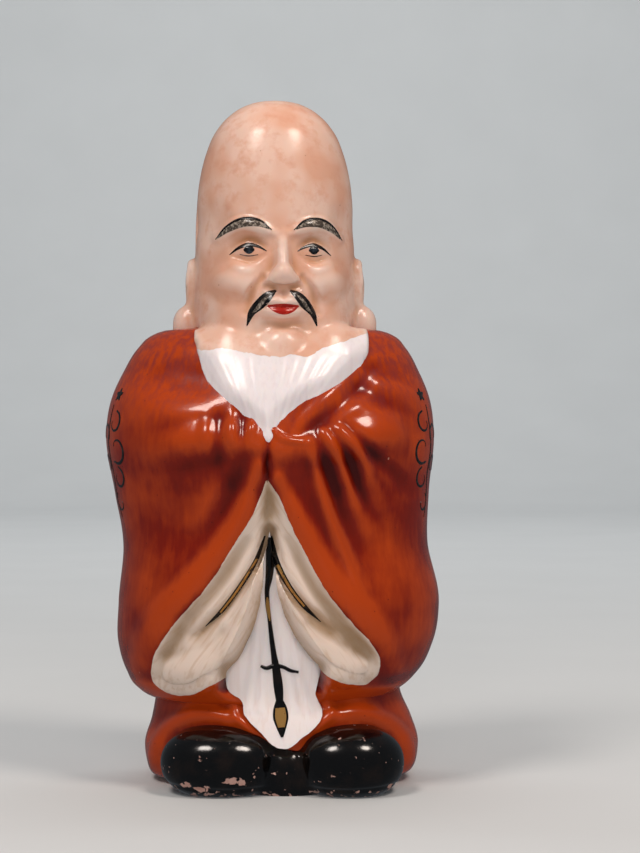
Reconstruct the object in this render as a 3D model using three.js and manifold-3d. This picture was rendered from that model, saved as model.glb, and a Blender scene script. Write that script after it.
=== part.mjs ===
// Porcelain okimono of an old sage in a red robe, as the clay parts that are luted together
// before firing. Millimetres, +Z up, the figure faces -Y, and z = 0 is what it stands on.
// The figure's right arm is on the -X side.
import * as THREE from "three";
import { mergeVertices } from "three/addons/utils/BufferGeometryUtils.js";
import Module from "manifold-3d";

const wasm = await Module();
wasm.setup();

// Driving dimensions.
const HEIGHT = 100;
const WALL = 3; // thickness of the cast shells
const GAP = 0.3; // luting gap between neighbouring parts
const SEAM = 0.45; // gap along an outline that is cut through the front
const FLOOR = 4; // thickness of the slab that closes the base
const VENT_R = 4.5; // air hole in the base slab
const NECK_R = 7.6; // spigot under the head
const NECK_BORE_R = 5.2;
const NECK_FOOT = 57; // height of the spigot's lower end
const HEAD_FOOT = 62; // height of the skull's lower end
const COLLAR_TOP = 67;
const HEAD_TURN = THREE.MathUtils.degToRad(8); // the face looks a little to its own left
const SLEEVE_BACK = 13; // how far round the body the sleeves reach
const MEETING_X = -0.3; // the line in front where the two sleeves meet
const CUFF_STEP = 0.8; // how far the cuffs' insides lie behind the red rim
const PANEL_PROUD = 1.6; // how far the front panel stands out of the robe
const CORD_PROUD = 1.3; // thickness of the sash cord and its gap together
const SEGMENTS = 40; // facets round a body section
const FAR = 40; // past the figure's outside in every direction

// Body sections: height, sideways shift, half-width, reach to the front, reach to the back.
const ROBE = [
  [0, 1.0, 17.2, 12.6, 14.6],
  [1.6, 1.1, 18.8, 14.0, 15.8],
  [5, 1.3, 20.0, 14.8, 16.6],
  [9, 1.3, 19.0, 14.2, 16.4],
  [13, 0.8, 18.0, 13.0, 16.0],
  [20, 0.8, 18.8, 12.6, 16.6],
  [33, 0.3, 19.6, 12.4, 17.8],
  [46, -0.3, 20.4, 12.4, 18.5],
  [54, -0.4, 19.8, 11.8, 18.0],
  [60, -0.2, 17.2, 10.8, 15.8],
  [64, 0, 14.0, 10.0, 13.4],
  [COLLAR_TOP, 0, 11.6, 9.4, 11.6],
];
const MANTLE = [
  [11.6, -0.6, 15.0, 11.5, 12.0],
  [13.2, -0.5, 18.8, 14.6, 13.0],
  [16, 0.0, 21.6, 16.6, 14.2],
  [20, 0.4, 23.2, 17.8, 15.2],
  [26, 0.9, 23.6, 18.2, 16.0],
  [35, 0.4, 22.5, 17.6, 16.4],
  [42, -0.1, 23.2, 17.4, 16.8],
  [51, -0.4, 24.2, 17.4, 17.0],
  [56, -0.3, 23.4, 16.2, 16.2],
  [60, -0.2, 21.6, 14.2, 14.8],
  [63.4, -0.1, 19.6, 12.0, 12.8],
  [65.6, 0, 16.6, 10.0, 11.0],
];
const SKULL = [
  [HEAD_FOOT, 0.2, 8.6, 9.6, 8.6],
  [64, 0.2, 10.8, 11.4, 10.6],
  [67, 0.3, 12.0, 12.4, 11.8],
  [71, 0.3, 12.1, 12.6, 12.3],
  [76, 0.3, 11.8, 12.2, 12.5],
  [83, 0.3, 11.6, 11.9, 12.5],
  [88.3, 0.3, 11.1, 11.4, 12.0],
  [92, 0.3, 10.2, 10.5, 11.1],
  [95.4, 0.3, 8.7, 9.0, 9.5],
  [97.6, 0.3, 6.8, 7.0, 7.5],
  [99.2, 0.3, 4.2, 4.3, 4.6],
  [HEIGHT, 0.3, 0.6, 0.6, 0.6],
];

// Front outlines in the XZ plane, drawn as smooth closed curves.
const RIGHT_CUFF = [
  [-0.5, 44.2], [-4.8, 34.2], [-12.4, 23.6], [-16.8, 18.2], [-16.2, 14.4], [-11.4, 13.2],
  [-6.4, 15.6], [-3.2, 22.0], [-1.2, 29.0], [-0.5, 36.0],
];
const LEFT_CUFF = [
  [-0.2, 44.2], [3.4, 34.4], [8.6, 25.4], [14.0, 20.2], [15.6, 16.8], [13.2, 14.8],
  [8.6, 16.4], [4.8, 20.4], [1.8, 26.6], [0.1, 35.0],
];
const APRON = [
  [-0.3, 36.0], [-4.6, 20.0], [-6.6, 15.6], [-3.8, 12.0], [-1.2, 9.2], [2.4, 6.8],
  [7.2, 11.6], [6.4, 17.6], [3.4, 26.0],
];
const BEARD = [
  [-11.0, 62.6], [-10.6, 58.8], [-8.0, 54.8], [-3.6, 52.2], [-0.3, 50.2], [3.6, 52.8],
  [8.6, 55.8], [12.4, 59.0], [12.6, 63.2], [1.0, 64.6],
];

// A closed three.js geometry as a manifold solid, and back again.
function solidOf(geometry) {
  const bare = geometry.clone();
  for (const name of Object.keys(bare.attributes)) {
    if (name !== "position") bare.deleteAttribute(name);
  }
  const merged = mergeVertices(bare, 1e-4);
  const corners = [];
  const index = merged.index.array;
  for (let i = 0; i < index.length; i += 3) {
    const [a, b, c] = [index[i], index[i + 1], index[i + 2]];
    if (a !== b && b !== c && a !== c) corners.push(a, b, c);
  }
  return new wasm.Manifold(
    new wasm.Mesh({
      numProp: 3,
      vertProperties: new Float32Array(merged.attributes.position.array),
      triVerts: new Uint32Array(corners),
    }),
  );
}

function geometryOf(solid) {
  const mesh = solid.getMesh();
  const geometry = new THREE.BufferGeometry();
  geometry.setAttribute("position", new THREE.BufferAttribute(mesh.vertProperties.slice(), 3));
  geometry.setIndex(new THREE.BufferAttribute(mesh.triVerts.slice(), 1));
  geometry.computeVertexNormals();
  return geometry;
}

// Moves each vertex of a geometry by a function of its own position.
function warp(geometry, move) {
  const position = geometry.getAttribute("position");
  const point = new THREE.Vector3();
  for (let i = 0; i < position.count; i++) {
    point.fromBufferAttribute(position, i);
    move(point);
    position.setXYZ(i, point.x, point.y, point.z);
  }
  return geometry;
}

// A closed body through the sections, grown all round by `grow`, between two heights.
function loft(sections, { grow = 0, from, to, rings = 15, segments = SEGMENTS } = {}) {
  const heights = sections.map((s) => s[0]);
  const spline = new THREE.CubicInterpolant(heights, sections.flatMap((s) => s.slice(1)), 4);
  const low = from ?? heights[0] - grow;
  const high = to ?? heights[heights.length - 1] + grow;
  const profile = [new THREE.Vector2(0, low)];
  for (let i = 0; i <= rings; i++) {
    // Rings lie closer together at the two ends, where the shape turns fastest.
    const t = 0.5 - 0.5 * Math.cos((Math.PI * i) / rings);
    profile.push(new THREE.Vector2(1, low + t * (high - low)));
  }
  profile.push(new THREE.Vector2(0, high));
  const body = new THREE.LatheGeometry(profile, segments).rotateX(Math.PI / 2);
  return warp(body, (p) => {
    const z = THREE.MathUtils.clamp(p.z, heights[0], heights[heights.length - 1]);
    const [shift, halfWidth, front, back] = spline.evaluate(z);
    const depth = p.y < 0 ? front : back;
    p.x = shift + p.x * (halfWidth + grow);
    p.y *= depth + grow;
  });
}

// An outline pushed through the front half of the figure.
function frontCutter(outline, { grow = 0, divisions = 40 } = {}) {
  const loop = new THREE.SplineCurve(outline.map(([x, z]) => new THREE.Vector2(x, z)));
  loop.points.push(loop.points[0].clone());
  const points = loop.getPoints(divisions).slice(0, -1);
  const outward = THREE.ShapeUtils.isClockWise(points) ? -grow : grow;
  const grown = points.map((p, i) => {
    const before = points[(i + points.length - 1) % points.length];
    const after = points[(i + 1) % points.length];
    const along = after.clone().sub(before).normalize();
    return p.clone().addScaledVector(new THREE.Vector2(along.y, -along.x), outward);
  });
  const bar = new THREE.ExtrudeGeometry(new THREE.Shape(grown), {
    depth: FAR,
    bevelEnabled: false,
  });
  // The extrusion runs along its own +Z, which becomes -Y.
  return solidOf(bar.rotateX(Math.PI / 2));
}

// A block between two corners.
function block(low, high) {
  const size = high.map((v, i) => v - low[i]);
  const box = new THREE.BoxGeometry(...size);
  return solidOf(box.translate(...low.map((v, i) => v + size[i] / 2)));
}

// A ball stretched to three radii. A `squareness` under 1 flattens its sides like a pebble's.
function ellipsoid(centre, radii, { across = 16, down = 10, squareness = 1 } = {}) {
  const ball = new THREE.SphereGeometry(1, across, down).rotateX(Math.PI / 2);
  const square = (v) => Math.sign(v) * Math.abs(v) ** squareness;
  warp(ball, (p) => p.set(square(p.x), square(p.y), square(p.z)));
  return solidOf(ball.scale(...radii).translate(...centre));
}

function upright(radius, low, high, segments = 32) {
  const rod = new THREE.CylinderGeometry(radius, radius, high - low, segments);
  return solidOf(rod.rotateX(Math.PI / 2).translate(0, 0, (low + high) / 2));
}

// Shared solids.
const core = solidOf(loft(ROBE));
const coreGrown = solidOf(loft(ROBE, { grow: GAP }));
const skullTurned = (options) => solidOf(loft(SKULL, options).rotateZ(HEAD_TURN));
const headGrown = skullTurned({ grow: GAP });
const mantle = solidOf(loft(MANTLE));
const mantleGrown = solidOf(loft(MANTLE, { grow: GAP }));

// The space inside the robe, less `clear` all round.
function robeCavity(clear) {
  const space = { grow: -WALL - clear, from: -1, to: COLLAR_TOP + 1, rings: 12, segments: 32 };
  return solidOf(loft(ROBE, space));
}

// Hollow cast body with an open neck and an open foot.
function makeRobeBody() {
  const hollow = robeCavity(0);
  const neck = upright(NECK_R + GAP, NECK_FOOT - 2, COLLAR_TOP + 2);
  return core.subtract(hollow).subtract(neck).subtract(headGrown);
}

// The slab that closes the foot, with its air hole.
function makeBasePlate() {
  const slab = robeCavity(GAP).intersect(block([-FAR, -FAR, 0], [FAR, FAR, FLOOR]));
  return slab.subtract(upright(VENT_R, -1, FLOOR + 1, 24));
}

// Hollow head on an open spigot.
function makeHead() {
  const skull = skullTurned({ rings: 16 });
  const spigot = upright(NECK_R, NECK_FOOT, HEAD_FOOT + 2 * WALL);
  const space = { grow: -WALL, from: HEAD_FOOT + 2, to: HEIGHT - WALL, rings: 10, segments: 28 };
  const hollow = skullTurned(space);
  const bore = upright(NECK_BORE_R, NECK_FOOT - 1, HEAD_FOOT + 3 * WALL, 24);
  return skull.add(spigot).subtract(hollow).subtract(bore);
}

// Long-lobed ear, pressed on to the side of the head.
function makeEar(side, lobe, top) {
  const shell = ellipsoid([side * top, 0.4, 71.4], [1.9, 2.9, 5.2]);
  const drop = ellipsoid([side * lobe, 0, 66.8], [2.3, 2.5, 2.9]);
  return shell.add(drop).subtract(headGrown).subtract(coreGrown).subtract(mantleGrown);
}

function makeBeard() {
  const swell = ellipsoid([0.6, -7.2, 60.4], [16.5, 10.0, 12.6], { across: 28, down: 18 });
  return swell.intersect(frontCutter(BEARD)).subtract(coreGrown).subtract(headGrown);
}

// Everything on one side of the line where the sleeves meet, as far back as the sleeves reach.
function sleeveHalf(side) {
  const edge = MEETING_X + (side * GAP) / 2;
  return side < 0
    ? block([-FAR, -FAR, 0], [edge, SLEEVE_BACK, HEIGHT])
    : block([edge, -FAR, 0], [FAR, SLEEVE_BACK, HEIGHT]);
}

// One sleeve: its half of the mantle, open at the cuff.
function makeSleeve(side) {
  return mantle
    .intersect(sleeveHalf(side))
    .subtract(coreGrown)
    .subtract(headGrown)
    .subtract(frontCutter(RIGHT_CUFF, { grow: SEAM }))
    .subtract(frontCutter(LEFT_CUFF, { grow: SEAM }))
    .subtract(frontCutter(APRON, { grow: SEAM }))
    .subtract(frontCutter(BEARD, { grow: SEAM }));
}

// The white inside of a sleeve, set back a little from the red rim.
function makeCuff(outline, side) {
  return solidOf(loft(MANTLE, { grow: -CUFF_STEP }))
    .intersect(frontCutter(outline))
    .intersect(sleeveHalf(side))
    .subtract(coreGrown)
    .subtract(frontCutter(APRON, { grow: SEAM }));
}

// The under-robe's front panel between the two cuffs.
function makeApron() {
  const front = solidOf(loft(ROBE, { grow: PANEL_PROUD, segments: 32 }));
  return front.intersect(frontCutter(APRON)).subtract(coreGrown);
}

// Cord with a knot bar and a tassel, raised on the front panel.
function makeSash() {
  const outline = new THREE.Shape();
  outline.moveTo(-1.1, 34);
  outline.lineTo(0.2, 34);
  outline.lineTo(1.5, 18.9);
  outline.lineTo(3.4, 18.3);
  outline.lineTo(3.4, 17.5);
  outline.lineTo(1.7, 17.7);
  outline.lineTo(2.1, 13);
  outline.quadraticCurveTo(2.9, 10.6, 2.0, 8.4);
  outline.quadraticCurveTo(0.6, 10.4, 0.9, 13);
  outline.lineTo(0.4, 17.7);
  outline.lineTo(-1.4, 17.7);
  outline.lineTo(-1.4, 18.5);
  outline.lineTo(0.2, 18.9);
  outline.closePath();
  const strip = new THREE.ExtrudeGeometry(outline, { depth: FAR, bevelEnabled: false });
  const bar = solidOf(strip.rotateX(Math.PI / 2));
  const outer = solidOf(loft(ROBE, { grow: PANEL_PROUD + CORD_PROUD, segments: 32 }));
  const inner = solidOf(loft(ROBE, { grow: PANEL_PROUD + GAP, segments: 32 }));
  return bar.intersect(outer).subtract(inner);
}

// Rounded toe of a shoe, standing out in front of the hem.
function makeShoe(low, high) {
  const middle = (low + high) / 2;
  const half = (high - low) / 2;
  const shape = { across: 28, down: 16, squareness: 0.72 };
  const upper = ellipsoid([middle, -12.0, 4.2], [half, 6.6, 5.1], shape);
  const sole = block([low - 1, -FAR, 0], [high + 1, 0, FAR]);
  return upper.intersect(sole).subtract(coreGrown).subtract(frontCutter(APRON, { grow: SEAM }));
}

const RED = { color: 0xa52a12, roughness: 0.22 };
const WHITE = { color: 0xe9e2dc, roughness: 0.2 };
const SKIN = { color: 0xe2b49c, roughness: 0.2 };
const BLACK = { color: 0x14110f, roughness: 0.25 };
const BISCUIT = { color: 0xd9cfc4, roughness: 0.85 };

const figure = new THREE.Group();

function addPart(name, solid, look) {
  const material = new THREE.MeshStandardMaterial({ metalness: 0, ...look });
  const mesh = new THREE.Mesh(geometryOf(solid), material);
  mesh.name = name;
  figure.add(mesh);
}

addPart("robe_body", makeRobeBody(), RED);
addPart("base_plate", makeBasePlate(), BISCUIT);
addPart("head", makeHead(), SKIN);
addPart("right_ear", makeEar(-1, 12.9, 12.2), SKIN);
addPart("left_ear", makeEar(1, 13.9, 13.0), SKIN);
addPart("beard", makeBeard(), WHITE);
addPart("right_sleeve", makeSleeve(-1), RED);
addPart("left_sleeve", makeSleeve(1), RED);
addPart("right_sleeve_lining", makeCuff(RIGHT_CUFF, -1), WHITE);
addPart("left_sleeve_lining", makeCuff(LEFT_CUFF, 1), WHITE);
addPart("front_panel", makeApron(), WHITE);
addPart("sash_cord", makeSash(), BLACK);
addPart("right_shoe", makeShoe(-14.4, 1.8), BLACK);
addPart("left_shoe", makeShoe(2.2, 18.0), BLACK);

// The origin is the middle of the footprint of the whole figure.
const middle = new THREE.Box3().setFromObject(figure).getCenter(new THREE.Vector3());
figure.position.set(-middle.x, -middle.y, 0);

export default new THREE.Group().add(figure);
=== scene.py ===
"""The looks of a hand-painted porcelain okimono: an old sage in a red robe.

Forms are modelled in millimetres, the figure facing -Y, and each finished piece is brought to
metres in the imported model's frame. The body is modelled whole, its folds are pressed in as a
modeller's tool would, and it is then cut into pieces along the painted edges.
"""

import math

import bmesh
import bpy
import numpy as np
from mathutils import Matrix, Vector, noise
from mathutils.bvhtree import BVHTree
from mathutils.kdtree import KDTree


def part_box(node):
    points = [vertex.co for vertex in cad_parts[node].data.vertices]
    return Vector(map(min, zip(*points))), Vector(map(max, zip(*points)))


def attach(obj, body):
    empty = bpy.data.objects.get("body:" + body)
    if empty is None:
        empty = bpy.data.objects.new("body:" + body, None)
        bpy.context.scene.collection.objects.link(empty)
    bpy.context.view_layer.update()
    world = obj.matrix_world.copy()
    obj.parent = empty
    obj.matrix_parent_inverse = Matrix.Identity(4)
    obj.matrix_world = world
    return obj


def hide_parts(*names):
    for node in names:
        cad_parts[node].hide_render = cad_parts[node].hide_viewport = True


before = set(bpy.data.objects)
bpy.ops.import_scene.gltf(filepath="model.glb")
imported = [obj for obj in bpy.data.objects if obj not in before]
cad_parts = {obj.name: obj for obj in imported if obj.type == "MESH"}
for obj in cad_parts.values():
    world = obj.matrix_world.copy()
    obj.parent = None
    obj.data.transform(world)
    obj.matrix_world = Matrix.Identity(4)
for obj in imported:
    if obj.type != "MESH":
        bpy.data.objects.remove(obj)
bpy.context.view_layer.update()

MM = 0.001
FAR = 60.0  # past the figure's outside, in millimetres
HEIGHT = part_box("head")[1].z / MM
HEAD_TURN = math.radians(8)  # the face looks a little to its own left
MEETING_X = -0.3  # the line in front where the two sleeves meet
SLEEVE_BACK = 13.0  # how far round the body the sleeves reach
BEARD_BACK = -5.6  # the beard reaches no further back than this
SHOES_PART = 2.0  # where the two shoes meet
WALL = 3.0  # thickness of the cast shell
AIR_HOLE = 4.5  # radius of the hole in the foot slab
PANEL_PROUD = 1.6  # how far the front panel stands out of the robe
ROUGH_OUT = 1.0
FINE = 0.24 / ROUGH_OUT  # size of the clay's finest facets
ROUND = 20.0  # radius that turns an angle round the body into millimetres
SIDES = (("right", -1), ("left", 1))  # the figure's own right is at -X
BRUSH_SEED = 7  # noise_vector follows the clock unless it is given a seed
noise.seed_set(BRUSH_SEED)

# Body sections: height, sideways shift, half-width, reach to the front, reach to the back.
ROBE = [
    (0, 1.0, 17.4, 12.8, 14.8), (0.8, 1.1, 18.5, 13.7, 15.6), (2.4, 1.2, 19.6, 14.5, 16.3),
    (5, 1.3, 20.2, 14.9, 16.7), (9, 1.3, 19.2, 14.3, 16.4), (13, 0.8, 18.0, 13.0, 16.0),
    (20, 0.8, 18.8, 12.6, 16.6), (33, 0.3, 19.6, 12.4, 17.8), (46, -0.3, 20.4, 12.4, 18.5),
    (54, -0.4, 19.8, 11.8, 18.0), (60, -0.2, 17.2, 10.8, 15.8), (64, 0, 14.0, 10.0, 13.4),
    (67, 0, 11.6, 9.4, 11.6),
]
MANTLE = [
    (11.4, -0.6, 14.0, 10.5, 11.0), (12.2, -0.6, 17.2, 13.2, 12.4), (13.6, -0.5, 19.6, 15.2, 13.4),
    (16, 0.0, 21.6, 16.8, 14.4), (20, 0.4, 23.2, 17.9, 15.4), (26, 0.9, 23.6, 18.2, 16.2),
    (35, 0.4, 22.5, 17.4, 16.6), (42, -0.1, 23.2, 17.4, 17.0), (51, -0.4, 24.2, 17.4, 17.2),
    (56, -0.3, 23.5, 16.2, 16.4), (60, -0.2, 21.8, 14.2, 15.0), (63.4, -0.1, 19.8, 12.0, 12.8),
    (65.2, 0, 18.0, 10.4, 11.4), (66.4, 0, 15.2, 8.8, 9.8),
]
SKULL = [
    (59, 0.2, 7.0, 8.4, 7.6), (62, 0.2, 9.4, 10.4, 9.2), (64, 0.2, 11.0, 11.6, 10.7),
    (67, 0.3, 12.0, 12.4, 11.8), (71, 0.3, 12.1, 12.5, 12.3), (76, 0.3, 11.8, 12.1, 12.5),
    (83, 0.3, 11.6, 11.9, 12.5), (88.3, 0.3, 11.1, 11.4, 12.0), (92, 0.3, 10.2, 10.5, 11.1),
    (95.4, 0.3, 8.7, 9.0, 9.5), (97.6, 0.3, 6.8, 7.0, 7.5), (98.9, 0.3, 4.9, 5.0, 5.4),
    (99.6, 0.3, 3.0, 3.1, 3.3), (HEIGHT, 0.3, 0.5, 0.5, 0.5),
]

# Painted edges, as outlines seen from the front: across, up.
RIGHT_CUFF = [
    (-0.4, 44.3), (-2.5, 39.3), (-4.8, 35.6), (-9.4, 28.6), (-12.4, 25.3), (-15.5, 21.2),
    (-16.9, 18.2), (-16.8, 15.2), (-15.0, 13.8), (-11.2, 13.9), (-8.1, 15.6), (-6.1, 16.6),
    (-4.1, 19.8), (-2.4, 23.4), (-1.1, 27.6), (-0.6, 32.0), (0.4, 36.5), (0.7, 41.0),
]
LEFT_CUFF = [
    (-0.2, 44.3), (1.4, 41.8), (2.8, 38.4), (4.7, 34.6), (8.0, 28.7), (11.3, 24.5),
    (14.2, 21.3), (15.5, 18.9), (15.1, 16.6), (13.6, 15.3), (11.6, 15.4), (9.0, 16.4),
    (7.1, 17.6), (5.3, 19.9), (3.3, 22.8), (1.1, 27.6), (0.5, 32.0), (-0.9, 36.5), (-1.3, 41.0),
]
APRON = [
    (-0.1, 37.0), (-0.8, 33.6), (-1.2, 28.6), (-2.4, 23.4), (-4.1, 19.8), (-6.3, 16.6),
    (-5.7, 14.2), (-5.3, 13.9), (-4.3, 13.4), (-4.0, 13.0), (-3.6, 11.2), (-3.2, 10.7),
    (-1.3, 8.9), (1.2, 6.8), (1.7, 6.7), (4.9, 8.4), (7.1, 10.5), (7.3, 10.9), (6.4, 14.2),
    (6.5, 15.0), (7.0, 17.7), (5.3, 19.9), (3.3, 22.8), (1.1, 28.6), (0.6, 33.6),
]
BEARD = [
    (-11.2, 66.0), (-10.8, 62.2), (-10.4, 59.8), (-9.2, 57.2), (-7.0, 54.9), (-3.4, 52.4),
    (-1.2, 50.8), (-0.3, 49.9), (0.8, 50.9), (2.9, 53.0), (5.6, 54.9), (9.2, 56.3),
    (12.0, 58.6), (13.6, 61.0), (13.9, 66.0),
]


# Arithmetic on outlines and surfaces.

def curve_through(knots, rows, at):
    """Rows of values at the places `at`, on a smooth curve through the rows at the knots."""
    knots, rows = np.asarray(knots, float), np.asarray(rows, float)
    slopes = np.gradient(rows, knots, axis=0)
    low = np.clip(np.searchsorted(knots, at) - 1, 0, len(knots) - 2)
    span = (knots[low + 1] - knots[low])[:, None]
    t = np.clip((at - knots[low])[:, None] / span, 0, 1)
    start = rows[low] * (1 + 2 * t) * (1 - t) ** 2 + slopes[low] * span * t * (1 - t) ** 2
    end = rows[low + 1] * (3 - 2 * t) * t ** 2 - slopes[low + 1] * span * (1 - t) * t ** 2
    return start + end


def even_line(path, step=0.25, closed=False):
    """A path's rows (across, up, and any widths and heights) at even steps along it."""
    path = np.array([*path, path[0]] if closed else path, float)
    lengths = np.concatenate([[0], np.cumsum(np.hypot(*np.diff(path[:, :2], axis=0).T))])
    at = np.linspace(0, lengths[-1], max(3, round(lengths[-1] / step) + 1))
    line = curve_through(lengths, path, at)
    return line[:-1] if closed else line


def ease(value, start, end):
    """0 before start, 1 after end, and a smooth step between."""
    t = np.clip((value - start) / (end - start), 0, 1)
    return t * t * (3 - 2 * t)


def depth_inside(across, up, loop):
    """How far each spot lies inside a closed loop; negative outside it."""
    nearest = np.full(len(across), np.inf)
    inside = np.zeros(len(across), bool)
    for (ax, az), (bx, bz) in zip(loop, np.roll(loop, -1, axis=0)):
        run, rise = bx - ax, bz - az
        t = ((across - ax) * run + (up - az) * rise) / (run * run + rise * rise)
        t = np.clip(t, 0, 1)
        nearest = np.minimum(nearest, np.hypot(across - ax - t * run, up - az - t * rise))
        level = (az > up) != (bz > up)
        inside ^= level & (across < ax + run * (up - az) / (rise if rise else 1e-9))
    return np.where(inside, nearest, -nearest)


# Forms: closed meshes in millimetres.

def form_of(name, bm):
    """A bmesh as an object in the scene."""
    mesh = bpy.data.meshes.new(name)
    bm.to_mesh(mesh)
    bm.free()
    form = bpy.data.objects.new(name, mesh)
    bpy.context.scene.collection.objects.link(form)
    return form


def positions(mesh):
    flat = np.empty(len(mesh.vertices) * 3)
    mesh.vertices.foreach_get("co", flat)
    return flat.reshape(-1, 3)


def set_positions(mesh, co):
    mesh.vertices.foreach_set("co", co.ravel())
    mesh.update()


def directions(mesh):
    """The way each vertex faces."""
    flat = np.empty(len(mesh.vertices) * 3)
    mesh.vertex_normals.foreach_get("vector", flat)
    return flat.reshape(-1, 3)


def discard(*forms):
    for form in forms:
        mesh = form.data
        bpy.data.objects.remove(form)
        bpy.data.meshes.remove(mesh)


def apply_modifier(form, kind, **settings):
    modifier = form.modifiers.new(kind.lower(), kind)
    for key, value in settings.items():
        setattr(modifier, key, value)
    shown = form.evaluated_get(bpy.context.evaluated_depsgraph_get())
    mesh = bpy.data.meshes.new_from_object(shown)
    form.modifiers.clear()
    old = form.data
    form.data = mesh
    bpy.data.meshes.remove(old)
    return form


def carve(form, tool, operation="DIFFERENCE"):
    return apply_modifier(form, "BOOLEAN", object=tool, operation=operation, solver="MANIFOLD")


def copy_of(form, name):
    twin = bpy.data.objects.new(name, form.data.copy())
    bpy.context.scene.collection.objects.link(twin)
    return twin


def thrown(name, sections, around, up, grow=0.0, low=None, high=None, turn=0.0):
    """A closed body through the sections, grown all round, as a pot is thrown."""
    bm = bmesh.new()
    bmesh.ops.create_uvsphere(bm, u_segments=round(around * ROUGH_OUT),
                              v_segments=round(up * ROUGH_OUT), radius=1.0)
    form = form_of(name, bm)
    table = np.array(sections, float)
    low = table[0, 0] if low is None else low
    high = table[-1, 0] if high is None else high
    co = positions(form.data)
    ring = np.hypot(co[:, 0], co[:, 1])
    out = co[:, :2] * np.where(ring > 1e-4, 1 / np.maximum(ring, 1e-4), 0)[:, None]
    height = low + (high - low) * (1 - np.arccos(np.clip(co[:, 2], -1, 1)) / math.pi)
    inside = np.clip(height, table[0, 0], table[-1, 0])
    shift, half, front, back = curve_through(table[:, 0], table[:, 1:], inside).T
    x = shift + out[:, 0] * (half + grow)
    y = out[:, 1] * (np.where(out[:, 1] < 0, front, back) + grow)
    c, s = math.cos(turn), math.sin(turn)
    set_positions(form.data, np.column_stack([x * c - y * s, x * s + y * c, height]))
    return form


def pebble(name, centre, radii, facets=48, squareness=1.0):
    """A ball stretched to three radii; a squareness under 1 flattens its sides."""
    bm = bmesh.new()
    bmesh.ops.create_uvsphere(bm, u_segments=facets, v_segments=facets // 2, radius=1.0)
    form = form_of(name, bm)
    co = positions(form.data)
    co = np.sign(co) * np.abs(co) ** squareness
    set_positions(form.data, co * radii + centre)
    return form


def pushed_through(name, loop, back=0.0):
    """A loop of spots seen from the front, pushed from outside the figure back to `back`."""
    bm = bmesh.new()
    bmesh.ops.create_circle(bm, cap_ends=True, segments=len(loop), radius=1.0)
    for vert, (x, z) in zip(bm.verts, loop):
        vert.co = (x, -FAR, z)
    pushed = bmesh.ops.extrude_face_region(bm, geom=bm.faces[:])["geom"]
    moved = [item for item in pushed if isinstance(item, bmesh.types.BMVert)]
    bmesh.ops.translate(bm, verts=moved, vec=(0, FAR + back, 0))
    bmesh.ops.recalc_face_normals(bm, faces=bm.faces[:])
    return form_of(name, bm)


def prism(name, outline, step=0.3, wander=0.0):
    """An outline pushed through the front half; `wander` is a brush's unsteadiness."""
    loop = []
    for x, z in even_line(outline, step, closed=True):
        drift = noise.noise_vector(Vector((x * 0.7, 3.0, z * 0.7)))
        drift += 0.5 * noise.noise_vector(Vector((x * 2.6, 7.0, z * 2.6)))
        loop.append((x + wander * drift.x, z + wander * drift.z))
    return pushed_through(name, loop)


def block(name, low, high):
    bm = bmesh.new()
    bmesh.ops.create_cube(bm, size=1.0)
    size = Vector(high) - Vector(low)
    bmesh.ops.scale(bm, vec=size, verts=bm.verts[:])
    bmesh.ops.translate(bm, vec=Vector(low) + size / 2, verts=bm.verts[:])
    return form_of(name, bm)


def blended(name, forms, facet, rounds):
    """Forms pressed together into one lump of clay, with the joins smoothed over."""
    bm = bmesh.new()
    for form in forms:
        bm.from_mesh(form.data)
    lump = form_of(name, bm)
    discard(*forms)
    apply_modifier(lump, "REMESH", mode="VOXEL", voxel_size=facet)
    clay = Clay(lump)
    clay.relax(rounds)
    clay.finish()
    return lump


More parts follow.
